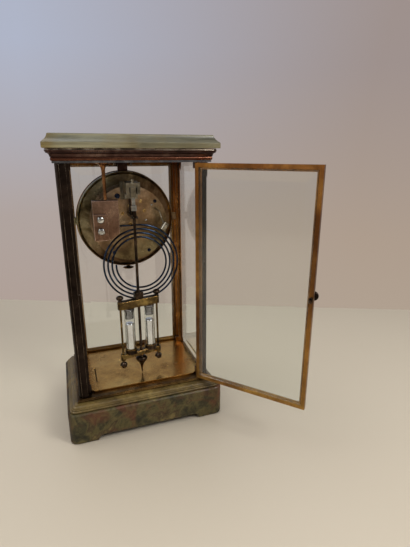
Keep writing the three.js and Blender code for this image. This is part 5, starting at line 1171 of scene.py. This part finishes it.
@dataclass
class Movement:
    """The drum with its strap, the plates, the two trains, the anchor and the cock behind the plates."""

    drum_radius: float = 51.5
    drum_wall: float = 1.2
    drum_opening: float = 27.0
    drum_floor_setback: float = 3.3
    drum_lip: float = 0.6
    lug_height: float = 8.0
    lug_depth: float = 1.9
    lug_overlap: float = 0.8
    lug_setback: float = 0.2
    nut: Points = ((0, -5), (2.4, -4.95), (3.9, -4.7), (5.7, -4.2), (5.9, -3.5), (4.4, -2.9), (2.3, -2.4),
                   (1.5, -1.2), (1.3, 0.7), (0, 0.8))
    pillar_screw: float = 1.8
    pillar_circle: float = 34.5
    pillar_turns: tuple[float, ...] = (40, 140, 238, 302)
    cock_screw: tuple[float, float, float] = (2.7, 11.7, 28.6)
    screw_slot: float = 0.3
    screw_sunk: float = 0.15
    screw_edge: tuple[float, float] = (0.9, 1.25)
    screw_chamfer: float = 0.5
    screw_height: float = 1.4
    slot_depth: tuple[float, float] = (0.7, 3.0)
    slot_turn: float = 0.7
    slot_turn_step: float = 1.1
    sink: Points = ((0.85, -0.1), (0.85, 0.02), (1.2, 0.12), (1.6, 0.02), (1.6, -0.1))
    studs: Points = ((-22.9, 18.6), (-16.1, 3.1))
    pivots: Points = ((-18.2, -16.3),)
    arbors: tuple[str, ...] = (
        "going_barrel", "intermediate_wheel", "centre_wheel", "third_wheel", "escape_wheel", "strike_barrel",
        "pin_wheel", "fly",
    )

    def build(self) -> None:
        """Builds and dresses the movement."""
        self.build_drum()
        filed("top_strap", CASE_BRASS, edge=0.2, worn=WORN_EDGE_AND_GLINT)
        filed("front_plate", PLATE_BRASS, edge=0.12)
        filed("back_plate", PLATE_BRASS, edge=0.12)
        filed("suspension_cock", COCK_BRASS, edge=0.22, worn=BRIGHT_STEEL)
        for wheel in (*self.arbors, "minute_wheel", "hour_wheel"):
            filed(wheel, WHEEL_BRASS, edge=0)
        filed("cannon_pinion", BRIGHT_STEEL, edge=0)
        filed("anchor", DARK_STEEL, edge=0.1, worn=BRIGHT_STEEL)
        filed("hammer", HAMMER_STEEL, edge=0.1)
        self.build_plate_screws()
        self.add_to_plate("oil_sinks", softened(self.sink, 0.08, 3, ring=True), WHEEL_BRASS,
                          [middle(arbor)[[0, 2]] for arbor in self.arbors], 32, ring=True)
        x, _, z = middle("back_plate")
        for name, places, finish, height in (("plate_studs", self.studs, BRIGHT_STEEL, 0.9),
                                             ("plate_pivots", self.pivots, DARK_STEEL, 0.3)):
            dome = softened([(0, -0.1), (1.1, -0.1), (1.1, height * 0.5), (0.7, height), (0, height)], 0.2)
            self.add_to_plate(name, dome, finish, [(x + across, z + up) for across, up in places], 24)

    def build_drum(self) -> None:
        """Builds the drum's dish, its two lugs and the stud with a round nut under it."""
        low, high = limits("movement_drum")
        centre_z = middle("dial")[2]
        front, back = low[1], high[1]
        radius, inner, opening = self.drum_radius, self.drum_radius - self.drum_wall, self.drum_opening
        floor_back = back - self.drum_floor_setback
        floor_front = floor_back - self.drum_wall
        lip = self.drum_lip
        dish = softened([
            (opening, floor_front), (inner - lip, floor_front), (inner, floor_front - lip), (inner, front),
            (radius, front), (radius, back), (inner + 0.1, back), (inner - 0.3, floor_back + 0.9),
            (inner - 1.6, floor_back), (opening, floor_back),
        ], 0.35, ring=True)
        parts = [turned(dish, (0, 0, centre_z), Axis.Y.value, segments=160, ring=True)]
        half, start = self.lug_height / 2, front + self.lug_setback
        for side in (1, -1):
            reach = sorted((side * (radius - self.lug_overlap), side * high[0]))
            lug = rectangle(*reach, centre_z - half, centre_z + half)
            parts.append(prism(lug, start, start + self.lug_depth, edge=0.3))
        parts.append(turned(flowing(self.nut), (0, (front + back) / 2, centre_z - radius), segments=40))
        # The drum's finish paints light and shade across the dish.
        add_piece("drum_spun", joined(parts), DRUM_BRASS, "case", ("movement_drum",))

    def build_plate_screws(self) -> None:
        """Builds the blued screws at the four pillars and the one beside the cock, each with its slot."""
        face = limits("back_plate")[1][1]
        centre = middle("back_plate")
        turns = np.radians(self.pillar_turns)
        screws = [(self.pillar_screw, self.pillar_circle * math.cos(a), self.pillar_circle * math.sin(a))
                  for a in turns]
        for number, (radius, x, z) in enumerate([*screws, self.cock_screw]):
            at = (centre[0] + x, face - self.screw_sunk, centre[2] + z)
            rim, bevel = self.screw_edge
            head = softened([(0, 0), (radius, 0), (radius, rim), (radius - self.screw_chamfer, bevel),
                             (0, self.screw_height)], 0.2)
            mesh = turned(head, at, Axis.Y.value, segments=40)
            piece = add_piece(f"plate_screw_{number + 1}", mesh, SCREW_BLUE, "case")
            turn = self.slot_turn + number * self.slot_turn_step
            slotted(piece, at, radius + 1, self.screw_slot, self.slot_depth, turn)

    def add_to_plate(self, name: str, profile: np.ndarray, finish: Finish, places: Points, segments: int,
                     ring: bool = False) -> None:
        """Adds one piece made of a turned profile at several places on the back plate.

        Args:
            name: the piece's name.
            profile: the profile, turned about y.
            finish: its finish.
            places: where it stands, as (x, z).
            segments: how many steps round.
            ring: whether the profile closes on itself.
        """
        face = limits("back_plate")[1][1]
        parts = [turned(profile, (x, face, z), Axis.Y.value, segments, ring) for x, z in places]
        add_piece(name, joined(parts), finish, "case")


@dataclass
class Gong:
    """The wound gong, and the block, clamp, screws and post that carry it."""

    outer_radius: float = 40.1
    pitch: float = 4.1
    turns: float = 3.75
    wire_radius: float = 0.95
    centre_x: float = -5.7
    steps: int = 96
    level_steps: int = 24
    screw_head: float = 3.3
    screw_radius: float = 1.5
    screw_slot: float = 0.4
    screw_height: float = 2.5
    screw_edge: tuple[float, float] = (1.5, 2.3)
    screw_chamfer: float = 0.8
    slot_depth: float = 1.1

    def path(self) -> np.ndarray:
        """The wire's centreline: level from its seat in the block, then the spiral r = R - pitch t."""
        low, high = limits("gong")
        top = high[2] - self.wire_radius * math.cos(math.pi / 6)
        level = np.linspace(high[0], self.centre_x, self.level_steps, endpoint=False)
        t = np.linspace(0, self.turns, int(self.turns * self.steps) + 1)
        reach, angle = self.outer_radius - self.pitch * t, np.pi / 2 + 2 * np.pi * t
        x = np.concatenate([level, self.centre_x + reach * np.cos(angle)])
        z = np.concatenate([np.full(len(level), top), top - self.outer_radius + reach * np.sin(angle)])
        return np.column_stack([x, np.full(len(x), (low[1] + high[1]) / 2), z])

    def build(self) -> None:
        """Builds the gong and what carries it."""
        # The wire's bright patches are painted highlights.
        wire = wound(self.path(), self.wire_radius, Axis.Y.value)
        stand_in("gong", "wound", wire, GLINTING_BLUE_STEEL, weighted=False)
        # The softened edges of the block and the clamp carry a painted highlight.
        filed("gong_block", BLOCK_BRASS, edge=0.35, worn=BLOCK_EDGE_HIGHLIGHT)
        filed("gong_clamp", BLOCK_BRASS, edge=0.4, worn=BLOCK_EDGE_HIGHLIGHT)
        self.build_screw("gong_screw_lower", -0.6)
        self.build_screw("gong_screw_upper", 0.5)
        self.build_post()

    def build_screw(self, node: str, turn: float) -> None:
        """Builds a clamp screw with a domed head, whose slot is turned by that much."""
        low, high = limits(node)
        centre = middle(node)
        head, shank = self.screw_head, self.screw_radius
        start, top = low[1] - centre[1], high[1] - centre[1]
        seat = top - self.screw_height
        rim, bevel = (seat + up for up in self.screw_edge)
        profile = softened([(0, start), (shank, start), (shank, seat), (head, seat), (head, rim),
                            (head - self.screw_chamfer, bevel), (0, top)], 0.35, 5)
        piece = stand_in(node, "turned", turned(profile, centre, Axis.Y.value, 48), BRIGHT_STEEL)
        slotted(piece, centre, head + 1, self.screw_slot, (top - self.slot_depth, top + 2), turn)

    def build_post(self) -> None:
        """Builds the post that flares like a trumpet under the ceiling."""
        low, high = limits("gong_post")
        length, flare = high[2] - low[2], (high[0] - low[0]) / 2
        stem = [(0, 0), (1.3, 0), (1.45, 0.2), (1.5, length * 0.3)]
        horn = arc((flare, length - 7.5), (1.8 - flare, 6.6), 0, 90, 12)
        profile = np.vstack([stem, horn, (flare, length), (0, length)])
        mesh = turned(profile, plumb("gong_post", low[2]), segments=56)
        stand_in("gong_post", "turned", mesh, POST_COPPER)


@dataclass
class Pendulum:
    """The pendulum: spring, rod, hook block, two yokes, tie rods, vials of mercury and the drop finial."""

    body: str = "pendulum"
    yoke_lift: float = 0.3
    twist: float = 12.0
    rod_radius: float = 1.4
    block_width: float = 9.0
    block_depth: float = 6.0
    block_height: float = 7.0
    tie_radius: float = 1.1
    tie_collar: float = 2.6
    tie_collar_edge: tuple[float, float] = (2.4, 2.0)
    tie_foot: float = 8.0
    tie_ball: Points = (
        (1.4, 0.18), (2.4, 0.28), (3.5, 0.45), (3.7, 0.62), (3.0, 0.82), (1.2, 0.97), (0, 1.0),
    )
    petals: Points = (
        (0, 0), (0.9, 0.1), (2.2, 1.0), (3.3, 2.5), (3.45, 3.6), (2.9, 5.2), (1.8, 6.6), (0, 7.0),
    )
    petal_count: int = 5
    petal_depth: float = 0.13
    finial_tip: Points = ((0, 0), (0.55, 0.02), (0.8, 0.14), (1.2, 0.3))
    finial_bulb: Points = ((0.42, 0.5), (0.8, 0.64), (1.0, 0.76), (0.86, 0.86), (0.42, 0.92), (0.5, 0.97),
                           (0.46, 1.0), (0, 1.0))
    vial_radius: float = 5.4
    vial_wall: float = 0.7
    vial_play: float = 0.3
    vial_floor: float = 1.4
    meniscus: Points = ((0.3, 1.0), (1.6, 0.15))
    stopper_rim: float = 1.6

    def build(self) -> None:
        """Builds the pendulum from its spring down."""
        filed("suspension_spring", BRIGHT_STEEL, edge=0.08)
        self.build_rod()
        cups = heights("vial_left")[0] + 0.2
        filed("bob_top_yoke", BOB_BRASS, edge=0.3, worn=GOLD_EDGE)
        filed("bob_bottom_yoke", BOB_BRASS, edge=0.3, worn=GOLD_EDGE,
              choose=lambda places, _: places[:, 2] > cups, other=DARK_STEEL)
        self.build_finial()
        for side in ("left", "right"):
            self.build_tie(side)
            self.build_vial(side)

    def build_rod(self) -> None:
        """Builds the rod with its two collars, and the hook block that is turned with the bob."""
        low, high = heights("pendulum_rod")
        place = plumb("pendulum_rod")
        base = heights("bob_top_yoke")[1] + self.yoke_lift
        top = base + self.block_height
        radius, neck = self.rod_radius, high - 4
        profile = softened([
            (0, low), (radius, low), (radius, top), (3, top), (3, top + 1), (2, top + 1.6),
            (radius, top + 2.6), (radius, neck), (2.2, neck), (2.2, high), (0, high),
        ], 0.3)
        stand_in("pendulum_rod", "turned", turned(profile, place, segments=32), DARK_STEEL)
        across, deep, turn = self.block_width / 2, self.block_depth / 2, math.radians(self.twist)
        spin = np.array([[math.cos(turn), math.sin(turn)], [-math.sin(turn), math.cos(turn)]])
        outline = softened(rectangle(-across, across, -deep, deep), 0.9, ring=True) @ spin
        add_piece("hook_block", prism(outline, base, top, Axis.Z, 0.4, place), DARK_STEEL, self.body)

    def build_finial(self) -> None:
        """Builds the drop finial: a long thin tip, a lobed bulb and a collar."""
        low, high = limits("drop_finial")
        reach, length = (high[0] - low[0]) / 2, high[2] - low[2]
        bulb = [(reach * r, h) for r, h in self.finial_bulb]
        profile = flowing(np.array([*self.finial_tip, *bulb]) * (1, length))
        mesh = turned(profile, plumb("drop_finial", low[2]), segments=72)
        stand_in("drop_finial", "turned", mesh, DARK_STEEL)

    def build_tie(self, side: str) -> None:
        """Builds a tie rod: a ball finial on top, a collar under the lower yoke and a petalled nut below."""
        node = "bob_tie_" + side
        bottom, high = heights(node)
        place = plumb(node)
        shelf = heights("bob_top_yoke")[1] + self.yoke_lift
        foot = heights("bob_bottom_yoke")[0] - self.yoke_lift
        thin, collar = self.tie_radius, self.tie_collar
        ball = [(r, shelf + (high - shelf) * h) for r, h in self.tie_ball]
        end = foot - self.tie_foot
        cone, rim = (foot - below for below in self.tie_collar_edge)
        rod = softened([
            (0, end), (thin, end), (thin, cone), (collar, rim), (collar, foot),
            (thin, foot), (thin, shelf), (collar, shelf), ball[0],
        ], 0.25)
        mesh = turned(np.vstack([rod, flowing(ball)[1:]]), place, segments=36)
        piece = stand_in(node, "turned", mesh, BOB_BRASS)
        painted(piece, DARK_STEEL, lambda places, _: places[:, 2] > shelf)
        petals = flowing([(r, bottom + h) for r, h in self.petals])
        nut = turned(petals, place, segments=60, lobes=self.petal_count, lobe_depth=self.petal_depth)
        add_piece(f"petal_nut_{side}", nut, DARK_STEEL, self.body)

    def build_vial(self, side: str) -> None:
        """Builds a vial, the mercury in it with its raised meniscus, and its stopper."""
        outer, inner = self.vial_radius, self.vial_radius - self.vial_wall
        fit = inner - self.vial_play
        low, high = heights("vial_" + side)
        floor = low + self.vial_floor
        glass = [(0, low), (outer, low), (outer, high), (inner, high), (inner, floor), (0, floor)]
        low, high = heights("mercury_" + side)
        curve = [(inner - inwards, high - under) for inwards, under in self.meniscus]
        metal = [(0, low), (fit, low), *curve, (0, high)]
        low, high = heights("stopper_" + side)
        rim = high - self.stopper_rim
        plug = [(0, low), (fit, low), (fit, rim), (outer, rim), (outer, high), (0, high)]
        for kind, way, finish, profile, segments in (
            ("vial", "blown", VIAL_GLASS, softened(glass, 0.5, 6), 64),
            ("mercury", "poured", QUICKSILVER, softened(metal, 0.6, 6), 64),
            ("stopper", "turned", STOPPER_STEEL, softened(plug, 0.3), 48),
        ):
            mesh = turned(profile, plumb("vial_" + side), segments=segments)
            stand_in(f"{kind}_{side}", way, mesh, finish)


@dataclass
class Studio:
    """The photograph's camera, a pale table, plain lamps and the pale wall's colours around them."""

    camera_place: tuple[float, float, float] = (63.9, 404.5, 275.0)
    yaw: float = 19.65
    pitch: float = 17.04
    focal_pixels: float = 395.3
    sensor: float = 36.0
    table_edge_left: tuple[float, float] = (0.0, 299.0)
    table_edge_right: tuple[float, float] = (410.0, 309.5)
    table_tones: tuple[str, str] = ("#cdc1ae", "#d6cbb9")
    table_reach: float = 9000
    table_thickness: float = 30
    lamps: tuple[tuple[str, tuple[float, float, float], float, float], ...] = (
        ("key_lamp", (-520, 640, 780), 380, 6.9),
        ("fill_lamp", (700, 460, 520), 620, 2.2),
        ("top_lamp", (330, -120, 1000), 700, 3.9),
    )
    lamps_aim: tuple[float, float, float] = (0, 0, 150)
    wall_left: Stops = ((0.0, "#af9f96"), (0.33, "#afa39e"), (0.875, "#afb5c7"))
    wall_right: Stops = ((0.0, "#b0a090"), (0.24, "#ad9c8d"), (0.81, "#9e918d"))
    room: Stops = ((0.0, "#80766b"), (0.5, "#736a63"), (1.0, "#9c9ca0"))
    soft_tone: str = "#f1eee8"
    soft_power: float = 0.5

    def axes(self) -> tuple[np.ndarray, np.ndarray, np.ndarray]:
        """The camera's right, up and forward directions."""
        yaw, pitch = math.radians(self.yaw), math.radians(self.pitch)
        level = math.cos(pitch)
        forward = np.array([-math.sin(yaw) * level, -math.cos(yaw) * level, -math.sin(pitch)])
        right = np.cross(forward, (0, 0, 1))
        right /= np.linalg.norm(right)
        return right, np.cross(right, forward), forward

    def on_table(self, pixel: tuple[float, float]) -> np.ndarray:
        """Where a pixel's line of sight meets the table, in millimetres."""
        right, up, forward = self.axes()
        across, down = pixel[0] - PHOTO_WIDTH / 2, pixel[1] - PHOTO_HEIGHT / 2
        sight = forward * self.focal_pixels + right * across - up * down
        start = np.array(self.camera_place)
        return start - sight * start[2] / sight[2]

    def build(self) -> None:
        """Builds the camera, the table, the lamps and the world."""
        self.build_camera()
        self.build_table()
        self.build_lamps()
        self.build_world()

    def build_camera(self) -> None:
        """Builds the camera at the photograph's place."""
        right, up, forward = self.axes()
        data = bpy.data.cameras.new("photo_camera")
        data.sensor_width = self.sensor
        data.lens = self.focal_pixels / PHOTO_HEIGHT * self.sensor
        data.clip_start = 0.01
        camera = bpy.data.objects.new("photo_camera", data)
        turn = Matrix(np.array([right, up, -forward]).T.tolist()).to_4x4()
        camera.matrix_world = Matrix.Translation(Vector(self.camera_place) * MM) @ turn
        bpy.context.scene.collection.objects.link(camera)
        bpy.context.scene.camera = camera

    def build_table(self) -> None:
        """Builds the table top, whose far edge runs where the photograph shows it."""
        left, right = self.on_table(self.table_edge_left), self.on_table(self.table_edge_right)
        along = (right - left) / np.linalg.norm(right - left) * self.table_reach
        near = np.array([0, self.table_reach, 0])
        corners = np.array([left - along, left + along, left + along + near, left - along + near])[:, :2]
        area = np.cross(corners[1] - corners[0], corners[2] - corners[0])
        outline = corners if area > 0 else corners[::-1]
        table = bpy.data.objects.new("table", prism(outline, -self.table_thickness, 0, Axis.Z, edge=2.0))
        bpy.context.scene.collection.objects.link(table)
        make = Shader("table_cream")
        clouds = make.spread(make.noise(make.place(), scale=3, detail=4, rough=0.5), 0, 0.25)
        tone = make.mix(clouds, *map(linear, self.table_tones))
        table.data.materials.append(make.principled({"Base Color": tone, "Roughness": 0.55}))

    def build_lamps(self) -> None:
        """Builds a broad lamp above and to the viewer's right, and two weaker ones for fill."""
        for name, place, size, power in self.lamps:
            data = bpy.data.lights.new(name, "AREA")
            data.size = size * MM
            data.energy = power
            lamp = bpy.data.objects.new(name, data)
            lamp.location = Vector(place) * MM
            aim = Vector(self.lamps_aim) * MM - lamp.location
            lamp.rotation_euler = aim.to_track_quat("-Z", "Y").to_euler()
            bpy.context.scene.collection.objects.link(lamp)

    def build_world(self) -> None:
        """Builds the pale wall that the camera sees and that panes and metal mirror, a dimmer room behind the
        camera for what mirrors that, and plain soft light for the rest."""
        world = bpy.data.worlds.new("room")
        bpy.context.scene.world = world
        make = Shader("room", world)
        where = make.node("SeparateXYZ", {0: make.node("TexCoord").outputs["Generated"]}).outputs
        height = make.spread(where["Z"], 0.0, 1.0, start=-0.35, end=0.3)
        looks_of = (self.wall_left, self.wall_right, self.room)
        left, right, room = (make.ramp(height, stops) for stops in looks_of)
        wall = make.mix(make.spread(where["X"], 0.0, 1.0, start=0.05, end=-0.65), left, right)
        path = make.node("LightPath").outputs
        behind = make.spread(where["Y"], 0.0, 1.0, start=-0.1, end=0.3)
        mirrored = make.maths("MULTIPLY", behind, path["Is Glossy Ray"])
        seen = make.node("Background", {"Color": make.mix(mirrored, wall, room)})
        soft = make.node("Background", {"Color": linear(self.soft_tone), "Strength": self.soft_power})
        looks = make.maths("ADD", path["Is Camera Ray"], path["Is Glossy Ray"])
        share = make.maths("ADD", looks, path["Is Transmission Ray"])
        share.node.use_clamp = True
        mixed = make.node("MixShader", {0: share, 1: soft.outputs[0], 2: seen.outputs[0]})
        make.finish(mixed.outputs[0])


def main() -> None:
    """Builds the clock's sub-assemblies in order, then the studio."""
    logging.basicConfig(level=logging.INFO, format="%(message)s")
    bpy.context.scene.view_settings.view_transform = "Standard"
    clock = (CaseWork(), Door("front"), Door("rear"), DialWork(), Movement(), Gong(), Pendulum())
    for part in (*clock, Studio()):
        part.build()


if __name__ == "__main__":
    main()
